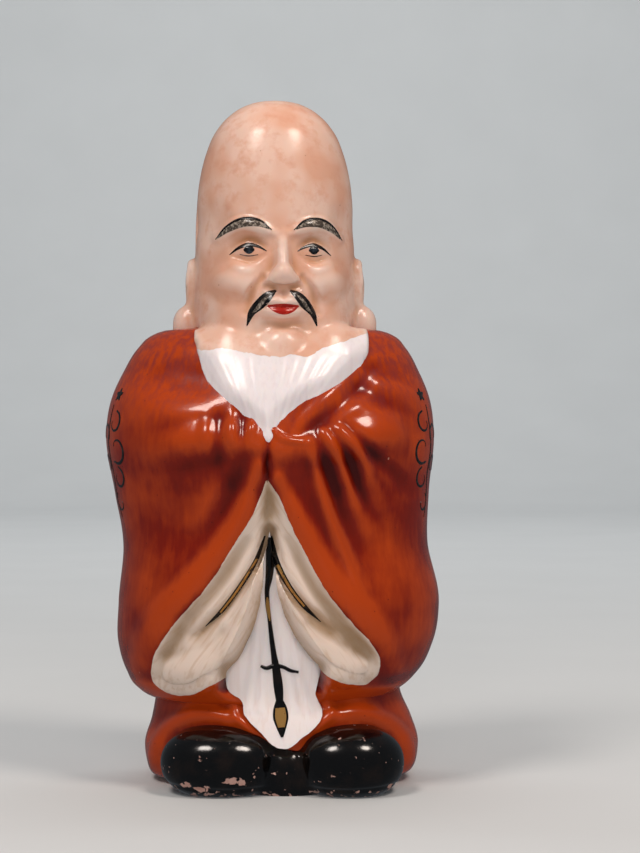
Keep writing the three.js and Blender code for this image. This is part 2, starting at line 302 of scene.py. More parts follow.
class Clay:
    """A dense surface that tools press in and out. Strokes are rows of across, up, half-width, height."""

    def __init__(self, form, turn=0.0):
        self.mesh = form.data
        self.turn = turn
        self.co = positions(self.mesh)
        edges = np.empty(len(self.mesh.edges) * 2, int)
        self.mesh.edges.foreach_get("vertices", edges)
        self.ends = edges.reshape(-1, 2).T
        self.links = np.bincount(edges, minlength=len(self.co))
        self.look()

    def look(self):
        """Takes the surface's directions afresh, after the strokes so far."""
        set_positions(self.mesh, self.co)
        self.normal = directions(self.mesh)

    def finish(self):
        set_positions(self.mesh, self.co)

    def seen(self, view):
        """Across and up as seen from a side, and which vertices face that way."""
        c, s = math.cos(-self.turn), math.sin(-self.turn)
        x = self.co[:, 0] * c - self.co[:, 1] * s
        y = self.co[:, 0] * s + self.co[:, 1] * c
        up = self.co[:, 2]
        if view == "front":
            return x, up, y < 0
        if view == "round":
            return np.arctan2(x, -y) * ROUND, up, np.ones(len(x), bool)
        side = 1 if view == "left" else -1
        return y, up, side * self.normal[:, 0] > -0.3

    def stroke(self, *path, view="front", sharp=False):
        across, up, facing = self.seen(view)
        line = even_line(path)
        reach = line[:, 2].max()
        low, high = line[:, :2].min(0) - reach, line[:, :2].max(0) + reach
        near = facing & (across > low[0]) & (across < high[0]) & (up > low[1]) & (up < high[1])
        for part in np.array_split(np.flatnonzero(near), 1 + near.sum() // 20000):
            gaps = np.hypot(across[part, None] - line[:, 0], up[part, None] - line[:, 1])
            which = gaps.argmin(1)
            q = np.clip(gaps[np.arange(len(part)), which] / line[which, 2], 0, 1)
            share = (1 - q) ** 2 * (1 + 0.5 * q) if sharp else (1 - q * q) ** 2
            self.co[part] += self.normal[part] * (line[which, 3] * share)[:, None]

    def dab(self, across, up, wide, high, height, view="front"):
        """One press or one added pellet."""
        x, z, facing = self.seen(view)
        q = np.clip(np.hypot((x - across) / wide, (z - up) / high), 0, 1)
        self.co += self.normal * (height * (1 - q * q) ** 2 * facing)[:, None]

    def sink(self, outline, depth, start, end):
        """Presses in what lies inside an outline, with a slope from start to end inside its edge."""
        x, z, facing = self.seen("front")
        inside = depth_inside(x, z, even_line(outline, 0.5, closed=True))
        self.co -= self.normal * (depth * ease(inside, start, end) * facing)[:, None]

    def mean(self, values):
        a, b = self.ends
        columns = [
            np.bincount(a, column[b], len(column)) + np.bincount(b, column[a], len(column))
            for column in values.T
        ]
        return np.column_stack(columns) / self.links[:, None]

    def relax(self, rounds, where=None):
        share = 0.6 if where is None else 0.6 * where[:, None]
        for _ in range(rounds):
            self.co += share * (self.mean(self.co) - self.co)

    def hollows(self, reach):
        """How deep each spot lies below the surface around it, in millimetres; ridges are negative."""
        self.look()
        calm = self.co.copy()
        for _ in range(reach):
            calm += 0.8 * (self.mean(calm) - calm)
        return ((calm - self.co) * self.normal).sum(1)


def note_pools_and_shade(form, reach=90, run=0.0):
    """Writes where glaze pools and where shade is painted, as a number on each vertex: 0 on ridges,
    1 in hollows. With `run` it also paints light on what faces up and shade on what faces down."""
    clay = Clay(form)
    depth = clay.hollows(reach)
    tilt = clay.normal[:, 2:]
    for _ in range(20):
        tilt = clay.mean(tilt)
    # Painted shade: hollows and what faces down get higher numbers, ridges and what faces up lower.
    pool_and_shade = np.clip(0.5 + depth - run * tilt[:, 0], 0, 1)
    form.data.attributes.new("pool_and_shade", "FLOAT", "POINT").data.foreach_set("value", pool_and_shade)


def lend_pools_and_shade(whole, piece):
    """Gives a cut piece the glaze pooling and painted shade of the whole form that it was cut from."""
    tree = KDTree(len(whole.data.vertices))
    for i, vert in enumerate(whole.data.vertices):
        tree.insert(vert.co, i)
    tree.balance()
    values = np.empty(len(whole.data.vertices))
    whole.data.attributes["pool_and_shade"].data.foreach_get("value", values)
    nearest = [tree.find(vert.co)[1] for vert in piece.data.vertices]
    if "pool_and_shade" not in piece.data.attributes:
        piece.data.attributes.new("pool_and_shade", "FLOAT", "POINT")
    piece.data.attributes["pool_and_shade"].data.foreach_set("value", values[nearest])


def finish_piece(piece, material, slot, *nodes, crease=40):
    """Brings a form to metres, gives it its material, puts it on the root body and hides
    the model's parts that it stands in for.
    """
    piece.data.transform(Matrix.Diagonal((MM, MM, MM, 1)))
    piece.data.materials.clear()
    piece.data.materials.append(material)
    piece.data.shade_smooth()
    piece.data.set_sharp_from_angle(angle=math.radians(crease))
    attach(piece, "root")
    if nodes:
        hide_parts(*nodes)


# Materials.

def colour(code):
    """An sRGB hex code as linear red, green, blue and alpha."""
    parts = [int(code[i:i + 2], 16) / 255 for i in (1, 3, 5)]
    linear = [p / 12.92 if p <= 0.04045 else ((p + 0.055) / 1.055) ** 2.4 for p in parts]
    return (*linear, 1.0)


def wire(tree, node, inputs):
    """Sets a node's inputs, which are values, or sockets to link from."""
    for socket, value in inputs.items():
        if isinstance(value, bpy.types.NodeSocket):
            tree.links.new(value, node.inputs[socket])
        else:
            node.inputs[socket].default_value = value


def add(tree, kind, inputs=None, **settings):
    """Adds a node with its settings and inputs."""
    made = tree.nodes.new("ShaderNode" + kind)
    for key, value in settings.items():
        setattr(made, key, value)
    wire(tree, made, inputs or {})
    return made


def new_material(name):
    """A material with one Principled shader, its node tree, and where on the object it is."""
    material = bpy.data.materials.new(name)
    material.use_nodes = True
    tree = material.node_tree
    tree.nodes.clear()
    shader = add(tree, "BsdfPrincipled")
    add(tree, "OutputMaterial", {"Surface": shader.outputs["BSDF"]})
    place = add(tree, "TexCoord").outputs["Object"]
    return material, tree, shader, place


def per_mm(count):
    """A pattern's scale from its repeats in a millimetre."""
    return count / MM


def red_enamel():
    """Iron-red overglaze enamel, brushed on and fired glossy: orange where it thinned on ridges
    and rims, near black-red where it gathered in hollows, with pinholes and pale scratches. The
    orange is also painted light on ridges and on what faces up, the black-red painted shade in
    hollows and on what faces down."""
    material, tree, shader, place = new_material("iron_red_enamel")
    pool_and_shade = add(tree, "Attribute", attribute_name="pool_and_shade").outputs["Fac"]
    cloud = add(tree, "TexNoise", {"Vector": place, "Scale": per_mm(0.11), "Detail": 3.0})
    stretch = add(tree, "Mapping", {"Vector": place, "Scale": (1.0, 1.0, 0.22)})
    streak = add(tree, "TexNoise", {
        "Vector": stretch.outputs[0], "Scale": per_mm(1.1), "Detail": 4.0, "Roughness": 0.6})
    drift = add(tree, "Math", {0: streak.outputs["Fac"], 1: 0.3, 2: -0.15}, operation="MULTIPLY_ADD")
    haze = add(tree, "Math", {0: cloud.outputs["Fac"], 1: 1.0, 2: -0.46}, operation="MULTIPLY_ADD")
    # Orange for thin enamel and painted light, black-red for gathered enamel and painted shade.
    sum_a = add(tree, "Math", {0: pool_and_shade, 1: drift.outputs[0]}, operation="ADD")
    thick = add(tree, "Math", {0: sum_a.outputs[0], 1: haze.outputs[0]}, operation="ADD")
    thin_and_lit_part = add(tree, "MapRange", {
        "Value": thick.outputs[0], "From Min": 0.24, "From Max": 0.6})
    deep_and_shaded_part = add(tree, "MapRange", {
        "Value": thick.outputs[0], "From Min": 0.6, "From Max": 1.02})
    body = add(tree, "MixRGB", {
        "Fac": thin_and_lit_part.outputs[0], "Color1": colour("#B23E0C"), "Color2": colour("#7C1804")})
    body = add(tree, "MixRGB", {
        "Fac": deep_and_shaded_part.outputs[0], "Color1": body.outputs[0], "Color2": colour("#450703")})
    # A smoky mauve painted reflection over the shoulders, strongest towards the top, in patches.
    height = add(tree, "SeparateXYZ", {"Vector": place}).outputs["Z"]
    high = add(tree, "MapRange", {
        "Value": height, "From Min": 50 * MM, "From Max": 61 * MM, "To Max": 1.1})
    veil = add(tree, "MapRange", {
        "Value": streak.outputs["Fac"], "From Min": 0.4, "From Max": 0.62, "To Max": 0.6})
    painted_reflection = add(tree, "Math", {0: high.outputs[0], 1: veil.outputs[0]}, operation="MULTIPLY")
    body = add(tree, "MixRGB", {
        "Fac": painted_reflection.outputs[0], "Color1": body.outputs[0], "Color2": colour("#7E2C2B")})
    # Pinholes and burst bubbles, about 0.15 mm across and 2 mm apart.
    holes = add(tree, "TexVoronoi", {"Vector": place, "Scale": per_mm(0.55), "Randomness": 1.0})
    hole = add(tree, "MapRange", {
        "Value": holes.outputs["Distance"], "From Min": 0.03, "From Max": 0.06,
        "To Min": 0.75, "To Max": 0.0})
    body = add(tree, "MixRGB", {
        "Fac": hole.outputs[0], "Color1": body.outputs[0], "Color2": colour("#2A0603")})
    # Scratches up to 2 mm long that show the pale body, on about one spot in five.
    turned = add(tree, "Mapping", {
        "Vector": place, "Rotation": (0.4, 0.7, 0.9), "Scale": (1.0, 1.0, 0.11)})
    spots = add(tree, "TexVoronoi", {
        "Vector": turned.outputs[0], "Scale": per_mm(0.42), "Randomness": 1.0})
    near = add(tree, "Math", {0: spots.outputs["Distance"], 1: 0.045}, operation="LESS_THAN")
    pick = add(tree, "SeparateColor", {"Color": spots.outputs["Color"]})
    rare = add(tree, "Math", {0: pick.outputs[0], 1: 0.8}, operation="GREATER_THAN")
    scratch = add(tree, "Math", {0: near.outputs[0], 1: rare.outputs[0]}, operation="MULTIPLY")
    faint = add(tree, "Math", {0: scratch.outputs[0], 1: 0.55}, operation="MULTIPLY")
    body = add(tree, "MixRGB", {
        "Fac": faint.outputs[0], "Color1": body.outputs[0], "Color2": colour("#D9A48A")})
    # The foot rim is wiped clean of enamel before firing.
    foot = add(tree, "MapRange", {
        "Value": height, "From Min": 0.3 * MM, "From Max": 0.6 * MM, "To Min": 1.0, "To Max": 0.0})
    body = add(tree, "MixRGB", {
        "Fac": foot.outputs[0], "Color1": body.outputs[0], "Color2": colour("#CDBBA6")})
    satin = add(tree, "MapRange", {
        "Value": streak.outputs["Fac"], "From Min": 0.3, "From Max": 0.7,
        "To Min": 0.17, "To Max": 0.27})
    rough = add(tree, "Math", {0: satin.outputs[0], 1: foot.outputs[0]}, operation="MAXIMUM")
    ripple = add(tree, "TexNoise", {"Vector": place, "Scale": per_mm(0.5), "Detail": 3.0})
    bump = add(tree, "Bump", {
        "Height": ripple.outputs["Fac"], "Distance": 0.12 * MM, "Strength": 0.35})
    pits = add(tree, "Bump", {
        "Height": hole.outputs[0], "Distance": -0.05 * MM, "Strength": 0.6,
        "Normal": bump.outputs[0]})
    wire(tree, shader, {
        "Base Color": body.outputs[0], "Roughness": rough.outputs[0], "Normal": pits.outputs[0],
        "IOR": 1.52, "Specular IOR Level": 0.3, "Coat Weight": 0.3, "Coat Roughness": 0.05})
    return material


def clear_glaze(name, plain, pooled_and_shaded, streaked, slant=0):
    """Clear glaze over white porcelain: slightly warm, glassy, and darker in hollows, where
    glaze gathers and where shade is painted.
    """
    material, tree, shader, place = new_material(name)
    pool_and_shade = add(tree, "Attribute", attribute_name="pool_and_shade").outputs["Fac"]
    cloud = add(tree, "TexNoise", {"Vector": place, "Scale": per_mm(0.2), "Detail": 3.0})
    haze = add(tree, "Math", {0: cloud.outputs["Fac"], 1: 0.3, 2: -0.15}, operation="MULTIPLY_ADD")
    thick = add(tree, "Math", {0: pool_and_shade, 1: haze.outputs[0]}, operation="ADD")
    # The second colour: glaze gathered in hollows, and painted shade there and on what faces down.
    warm = add(tree, "MapRange", {
        "Value": thick.outputs[0], "From Min": 0.48, "From Max": 1.05, "To Max": 0.9})
    # Brush lines about 0.6 mm apart that run up and down, or slant outwards on both sides.
    mirrored = add(tree, "VectorMath", {0: place}, operation="ABSOLUTE")
    stretch = add(tree, "Mapping", {
        "Vector": mirrored.outputs[0], "Rotation": (0.0, math.radians(-slant), 0.0),
        "Scale": (1.0, 1.0, 16.0)}, vector_type="TEXTURE")
    lines = add(tree, "TexNoise", {
        "Vector": stretch.outputs[0], "Scale": per_mm(1.6), "Detail": 2.0, "Roughness": 0.5})
    line = add(tree, "MapRange", {
        "Value": lines.outputs["Fac"], "From Min": 0.5, "From Max": 0.68, "To Max": 0.5})
    body = add(tree, "MixRGB", {
        "Fac": line.outputs[0], "Color1": colour(plain), "Color2": colour(streaked)})
    body = add(tree, "MixRGB", {
        "Fac": warm.outputs[0], "Color1": body.outputs[0], "Color2": colour(pooled_and_shaded)})
    bump = add(tree, "Bump", {
        "Height": lines.outputs["Fac"], "Distance": 0.02 * MM, "Strength": 0.12})
    wire(tree, shader, {
        "Base Color": body.outputs[0], "Normal": bump.outputs[0], "Roughness": 0.26, "IOR": 1.45,
        "Subsurface Weight": 0.2, "Subsurface Radius": (1.0, 0.6, 0.4),
        "Subsurface Scale": 0.8 * MM})
    return material


def flesh_glaze():
    """A thin orange-pink wash under clear glaze: mottled, rosier in patches and darker in the
    creases, where the wash gathers and where shade is painted, with a few iron specks."""
    material, tree, shader, place = new_material("flesh_tint_under_glaze")
    pool_and_shade = add(tree, "Attribute", attribute_name="pool_and_shade").outputs["Fac"]
    cloud = add(tree, "TexNoise", {"Vector": place, "Scale": per_mm(0.13), "Detail": 2.0})
    mottle = add(tree, "TexNoise", {
        "Vector": place, "Scale": per_mm(0.45), "Detail": 4.0, "Roughness": 0.6})
    rosy = add(tree, "MapRange", {
        "Value": cloud.outputs["Fac"], "From Min": 0.4, "From Max": 0.62})
    body = add(tree, "MixRGB", {
        "Fac": rosy.outputs[0], "Color1": colour("#E9C3B0"), "Color2": colour("#DFA98F")})
    patch = add(tree, "MapRange", {
        "Value": mottle.outputs["Fac"], "From Min": 0.5, "From Max": 0.7, "To Max": 0.6})
    body = add(tree, "MixRGB", {
        "Fac": patch.outputs[0], "Color1": body.outputs[0], "Color2": colour("#D99B7F")})
    # Darker orange in the creases: wash gathered there, and painted shade.
    crease_pool_and_shade = add(tree, "MapRange", {
        "Value": pool_and_shade, "From Min": 0.56, "From Max": 1.0, "To Max": 0.7})
    body = add(tree, "MixRGB", {
        "Fac": crease_pool_and_shade.outputs[0], "Color1": body.outputs[0], "Color2": colour("#C4834F")})
    bare = add(tree, "MapRange", {
        "Value": pool_and_shade, "From Min": 0.2, "From Max": 0.4, "To Min": 0.6, "To Max": 0.0})
    body = add(tree, "MixRGB", {
        "Fac": bare.outputs[0], "Color1": body.outputs[0], "Color2": colour("#F0D6C8")})
    specks = add(tree, "TexVoronoi", {"Vector": place, "Scale": per_mm(0.3), "Randomness": 1.0})
    speck = add(tree, "MapRange", {
        "Value": specks.outputs["Distance"], "From Min": 0.02, "From Max": 0.045,
        "To Min": 0.6, "To Max": 0.0})
    body = add(tree, "MixRGB", {
        "Fac": speck.outputs[0], "Color1": body.outputs[0], "Color2": colour("#9C6248")})
    bump = add(tree, "Bump", {
        "Height": mottle.outputs["Fac"], "Distance": 0.05 * MM, "Strength": 0.3})
    wire(tree, shader, {
        "Base Color": body.outputs[0], "Normal": bump.outputs[0], "Roughness": 0.24, "IOR": 1.45,
        "Subsurface Weight": 0.2, "Subsurface Radius": (1.0, 0.45, 0.25),
        "Subsurface Scale": 0.8 * MM})
    return material


# Chips on the shoes: where, and how far each reaches.
CHIPS = [
    ((-5.4, -18.0, 2.6), (1.1, 1.2, 0.62)), ((-4.0, -17.6, 2.4), (0.5, 1.2, 0.6)),
    ((-11.6, -17.4, 1.9), (0.9, 1.4, 0.35)), ((-9.8, -17.8, 1.2), (0.9, 1.2, 0.45)),
    ((-8.6, -18.2, 1.5), (0.4, 1.0, 0.5)), ((-14.3, -13.6, 3.8), (0.6, 1.2, 0.8)),
    ((-1.5, -15.6, 2.9), (0.5, 1.3, 0.6)), ((0.6, -15.0, 3.2), (0.9, 1.4, 0.35)),
    ((10.6, -15.6, 7.6), (0.65, 0.8, 0.4)), ((16.8, -15.0, 1.4), (0.4, 0.9, 0.4)),
]


def black_enamel(chipped):
    """Black overglaze enamel, thick and glossy; where it flaked off, the pinkish-white matt body
    shows with a ragged edge."""
    material, tree, shader, place = new_material("black_enamel_chipped" if chipped else "black_enamel")
    tint = add(tree, "TexNoise", {"Vector": place, "Scale": per_mm(0.35), "Detail": 4.0})
    thin = add(tree, "MapRange", {
        "Value": tint.outputs["Fac"], "From Min": 0.5, "From Max": 0.75, "To Max": 0.6})
    body = add(tree, "MixRGB", {
        "Fac": thin.outputs[0], "Color1": colour("#060505"), "Color2": colour("#21150E")})
    if not chipped:
        wire(tree, shader, {"Base Color": body.outputs[0], "Roughness": 0.16, "IOR": 1.55})
        return material
    ragged = add(tree, "TexNoise", {"Vector": place, "Scale": per_mm(1.5), "Detail": 3.0})
    offset = add(tree, "VectorMath", {
        0: ragged.outputs["Color"], 1: (0.5, 0.5, 0.5)}, operation="SUBTRACT")
    torn = add(tree, "VectorMath", {0: offset.outputs[0], "Scale": 1.5 * MM}, operation="SCALE")
    where = add(tree, "VectorMath", {0: place, 1: torn.outputs[0]}, operation="ADD").outputs[0]
    gone = None
    for centre, radii in CHIPS:
        off = add(tree, "VectorMath", {0: where, 1: [v * MM for v in centre]}, operation="SUBTRACT")
        unit = add(tree, "VectorMath", {0: off.outputs[0], 1: [v * MM for v in radii]},
                   operation="DIVIDE")
        length = add(tree, "VectorMath", {0: unit.outputs[0]}, operation="LENGTH").outputs["Value"]
        chip = add(tree, "MapRange", {
            "Value": length, "From Min": 0.92, "From Max": 1.0, "To Min": 1.0, "To Max": 0.0})
        if gone is None:
            gone = chip.outputs[0]
        else:
            gone = add(tree, "Math", {0: gone, 1: chip.outputs[0]}, operation="MAXIMUM").outputs[0]
    # Scuffs under a millimetre along the soles.
    scuffs = add(tree, "TexNoise", {"Vector": place, "Scale": per_mm(1.1), "Detail": 5.0})
    height = add(tree, "SeparateXYZ", {"Vector": place}).outputs["Z"]
    low = add(tree, "MapRange", {
        "Value": height, "From Min": 0.2 * MM, "From Max": 1.6 * MM, "To Min": 0.13, "To Max": 0.0})
    rubbed = add(tree, "Math", {0: scuffs.outputs["Fac"], 1: low.outputs[0]}, operation="ADD")
    scuff = add(tree, "MapRange", {
        "Value": rubbed.outputs[0], "From Min": 0.68, "From Max": 0.72})
    gone = add(tree, "Math", {0: gone, 1: scuff.outputs[0]}, operation="MAXIMUM").outputs[0]
    clay_tint = add(tree, "TexNoise", {"Vector": place, "Scale": per_mm(1.0), "Detail": 2.0})
    clay = add(tree, "MixRGB", {
        "Fac": clay_tint.outputs["Fac"], "Color1": colour("#A8705F"), "Color2": colour("#DDB8AC")})
    body = add(tree, "MixRGB", {
        "Fac": gone, "Color1": body.outputs[0], "Color2": clay.outputs[0]})
    rough = add(tree, "MapRange", {"Value": gone, "To Min": 0.15, "To Max": 0.6})
    ripple = add(tree, "TexNoise", {"Vector": place, "Scale": per_mm(0.4), "Detail": 3.0})
    bump = add(tree, "Bump", {
        "Height": ripple.outputs["Fac"], "Distance": 0.15 * MM, "Strength": 0.4})
    flake = add(tree, "Bump", {
        "Height": gone, "Distance": -0.08 * MM, "Strength": 0.8, "Normal": bump.outputs[0]})
    wire(tree, shader, {
        "Base Color": body.outputs[0], "Roughness": rough.outputs[0], "Normal": flake.outputs[0],
        "IOR": 1.55})
    return material


def gilding():
    """Liquid bright gold over black line: a warm metal film, worn through to the dark under it."""
    material, tree, shader, place = new_material("bright_gold_gilding")
    wear = add(tree, "TexNoise", {
        "Vector": place, "Scale": per_mm(0.8), "Detail": 5.0, "Roughness": 0.65})
    worn = add(tree, "MapRange", {
        "Value": wear.outputs["Fac"], "From Min": 0.54, "From Max": 0.62})
    body = add(tree, "MixRGB", {
        "Fac": worn.outputs[0], "Color1": colour("#CE9C58"), "Color2": colour("#2B1A0E")})
    metal = add(tree, "Math", {0: worn.outputs[0], 1: -0.65, 2: 0.65}, operation="MULTIPLY_ADD")
    wire(tree, shader, {
        "Base Color": body.outputs[0], "Metallic": metal.outputs[0], "Roughness": 0.24})
    return material


def line_paint(name, dark, pale, spacing):
    """Overglaze line paint from a loaded brush: dark, with paler hair marks where it dragged."""
    material, tree, shader, place = new_material(name)
    hairs = add(tree, "TexNoise", {
        "Vector": place, "Scale": per_mm(1 / spacing), "Detail": 3.0, "Roughness": 0.7})
    dragged = add(tree, "MapRange", {
        "Value": hairs.outputs["Fac"], "From Min": 0.48, "From Max": 0.6})
    body = add(tree, "MixRGB", {
        "Fac": dragged.outputs[0], "Color1": colour(dark), "Color2": colour(pale)})
    wire(tree, shader, {"Base Color": body.outputs[0], "Roughness": 0.22, "IOR": 1.5})
    return material


def biscuit():
    """Unglazed fired clay on the underside: matt, faintly gritty, with handling grime."""
    material, tree, shader, place = new_material("unglazed_biscuit")
    grit = add(tree, "TexNoise", {"Vector": place, "Scale": per_mm(2.2), "Detail": 4.0})
    grime = add(tree, "TexNoise", {"Vector": place, "Scale": per_mm(0.16), "Detail": 3.0})
    body = add(tree, "MixRGB", {
        "Fac": grime.outputs["Fac"], "Color1": colour("#DCCFBE"), "Color2": colour("#B39F88")})
    bump = add(tree, "Bump", {
        "Height": grit.outputs["Fac"], "Distance": 0.08 * MM, "Strength": 0.7})
    wire(tree, shader, {
        "Base Color": body.outputs[0], "Normal": bump.outputs[0], "Roughness": 0.85, "IOR": 1.5})
    return material


RED = red_enamel()
# The whites' second colours are glaze gathered in hollows and painted shade, on the linings also on what
# faces down.
BEARD_WHITE = clear_glaze("clear_glaze_on_beard", "#EFE5E5", "#D6C2B8", "#E6DADB")
LINING_WHITE = clear_glaze("clear_glaze_on_linings", "#E4CFC0", "#9E7C58", "#CBAA8E", slant=38)
PANEL_WHITE = clear_glaze("clear_glaze_on_panel", "#F6EAE7", "#CBB09C", "#EEDBD5")
FLESH = flesh_glaze()
BLACK = black_enamel(chipped=False)
SHOE_BLACK = black_enamel(chipped=True)
GOLD = gilding()
BROW_GREY = line_paint("grey_brush_line", "#4A4038", "#A89A8C", 0.5)
LINE_BLACK = line_paint("black_brush_line", "#0D0B0B", "#2A2320", 0.8)
EYE_GREY = line_paint("blue_grey_dot", "#101114", "#30363E", 0.8)
LIP_RED = line_paint("red_brush_line", "#A5180B", "#B8301C", 1.2)
BISCUIT = biscuit()


# The mantle: both sleeves and their insides, modelled as one.

def press_forearms(clay):
    """The ledge that the joined forearms make under the chest."""
    clay.dab(-0.3, 48.5, 9, 7, 1.1)
    clay.stroke((-16.0, 48.2, 3.2, 0.3), (-10.5, 49.4, 3.6, 0.9), (-4.8, 50.0, 3.2, 0.8),
                (-0.6, 49.4, 2.4, 0.3))
    clay.stroke((0.8, 48.6, 2.4, 0.3), (6.5, 49.0, 3.0, 0.6), (12.0, 49.8, 3.4, 0.6),
                (17.0, 50.0, 3.0, 0.3))
    clay.dab(-12.0, 58.2, 9.0, 5.0, -0.9)
    clay.dab(13.5, 58.2, 8.0, 4.5, -0.5)


def fill_sleeves(clay):
    """Upper arms and the bags of the sleeves, and the rolls of their rims."""
    clay.dab(-13.5, 51.5, 12, 9, 0.9)
    clay.dab(14.5, 50.5, 11, 9, 0.7)
    clay.dab(-15.5, 26.5, 9, 11, 0.5)
    clay.dab(17.5, 26.0, 9, 11, 0.6)
    clay.look()
    # Right sleeve: the hollow under the forearm, and the rim's roll.
    clay.stroke((-3.2, 47.4, 1.8, -0.15), (-4.9, 44.0, 2.4, -0.55), (-6.2, 40.6, 2.8, -0.85),
                (-8.2, 37.2, 3.0, -0.55), (-11.6, 34.4, 3.4, -0.2))
    clay.dab(-14.5, 39.0, 9.0, 6.5, -0.6)
    clay.stroke((-1.3, 46.6, 1.3, 0.3), (-3.6, 41.0, 2.0, 0.6), (-7.4, 34.6, 2.5, 0.7),
                (-12.6, 28.2, 3.0, 0.7), (-17.2, 22.2, 3.2, 0.6), (-19.0, 16.8, 2.8, 0.35))
    # Left sleeve: its rim's roll.
    clay.stroke((1.2, 44.6, 1.4, 0.4), (3.9, 39.4, 2.0, 0.6), (7.2, 33.4, 2.4, 0.6),
                (11.2, 27.6, 2.8, 0.6), (15.8, 21.8, 3.0, 0.6), (17.4, 17.4, 2.6, 0.35))
    clay.look()


def fold_sleeves(clay):
    """Puckers at the right cuff, and the folds that fan down and out over the left sleeve."""
    for x, top, foot, wide, high in [
            (-5.3, 54.4, 48.6, 1.25, 0.55), (-2.5, 53.0, 49.8, 1.0, 0.5), (-8.9, 53.6, 47.5, 1.5, 0.3)]:
        clay.stroke((x, top, wide * 0.7, 0.1), (x, (top + foot) / 2 + 0.6, wide, high),
                    (x - 0.3, foot, wide, 0.05))
    for x, top, foot, wide, deep in [(-3.9, 54.0, 48.4, 1.0, -0.35), (-7.2, 54.4, 45.4, 1.4, -0.4)]:
        clay.stroke((x, top, wide * 0.7, -0.05), (x, (top + foot) / 2 + 0.6, wide, deep),
                    (x + 0.3, foot, wide, -0.05))
    for ridge in [
            [(5.4, 50.0, 0.9, 0.15), (6.3, 46.2, 1.2, 0.5), (7.3, 42.4, 1.5, 0.6),
             (8.6, 38.6, 1.6, 0.6), (10.0, 35.0, 1.7, 0.6), (11.6, 31.4, 1.8, 0.5),
             (13.3, 28.2, 2.0, 0.3), (15.0, 25.6, 2.0, 0.1)],
            [(7.4, 51.2, 1.0, 0.35), (8.8, 49.2, 1.2, 0.55), (10.0, 46.2, 1.3, 0.5),
             (11.0, 43.4, 1.4, 0.45), (12.2, 40.6, 1.6, 0.35), (14.0, 37.6, 1.8, 0.1)],
            [(9.9, 51.4, 1.1, 0.4), (11.6, 49.6, 1.3, 0.6), (13.2, 46.8, 1.4, 0.5),
             (14.2, 43.8, 1.5, 0.35), (15.8, 40.8, 1.7, 0.1)]]:
        clay.stroke(*ridge)
    for valley in [
            [(6.6, 51.0, 0.9, -0.15), (7.6, 47.6, 1.1, -0.3), (9.0, 43.4, 1.3, -0.35),
             (10.4, 39.4, 1.4, -0.35), (12.2, 35.6, 1.6, -0.25), (14.4, 32.2, 1.8, -0.1)],
            [(9.0, 51.0, 0.9, -0.2), (10.6, 48.2, 1.1, -0.35), (12.2, 44.4, 1.2, -0.35),
             (13.4, 40.8, 1.4, -0.25), (15.2, 37.8, 1.6, -0.1)],
            [(10.6, 52.2, 1.1, -0.2), (12.9, 49.9, 1.3, -0.4), (15.4, 47.2, 1.5, -0.45),
             (18.0, 44.9, 1.7, -0.35), (20.0, 42.6, 1.8, -0.1)]]:
        clay.stroke(*valley)
    clay.dab(15.6, 51.4, 4.6, 3.6, 0.5)
    # Crests along two of the folds, thin enough to catch a line of light.
    for crest in [
            [(6.1, 46.8, 0.6, 0.05), (7.2, 42.6, 0.7, 0.25), (8.5, 38.7, 0.7, 0.3),
             (9.9, 35.1, 0.7, 0.3), (11.5, 31.5, 0.7, 0.25), (13.3, 28.2, 0.7, 0.05)],
            [(8.6, 49.6, 0.6, 0.1), (9.9, 46.4, 0.7, 0.25), (10.9, 43.6, 0.7, 0.25),
             (12.1, 40.8, 0.7, 0.05)],
            [(11.4, 49.8, 0.6, 0.1), (13.1, 47.0, 0.7, 0.22), (14.0, 44.2, 0.7, 0.05)]]:
        clay.stroke(*crest)


def press_lapel(clay):
    """The lapel band beside the beard and the grooves that divide it from the sleeve."""
    clay.stroke((12.6, 59.4, 1.4, 0.2), (8.8, 56.0, 1.8, 0.4), (5.4, 53.2, 1.5, 0.4),
                (3.4, 51.2, 1.1, 0.2))
    clay.stroke((14.4, 60.2, 1.8, -0.15), (12.6, 57.8, 2.2, -0.4), (9.8, 55.3, 2.3, -0.5),
                (7.5, 53.1, 2.0, -0.4), (5.8, 51.4, 1.5, -0.15))
    clay.stroke((12.4, 57.0, 2.0, -0.2), (15.6, 55.6, 2.4, -0.4), (18.6, 54.6, 2.5, -0.35),
                (20.4, 51.8, 2.4, -0.15))
    clay.stroke((13.6, 58.8, 1.8, 0.2), (16.6, 57.2, 2.0, 0.35), (19.8, 55.6, 2.0, 0.2))
    # The left cuff's upper edge lies over the right one, in a short bright ridge.
    clay.stroke((0.5, 51.2, 0.7, 0.3), (1.6, 50.2, 0.8, 0.45), (3.2, 49.8, 0.8, 0.45),
                (5.4, 49.6, 0.8, 0.2))
    clay.look()


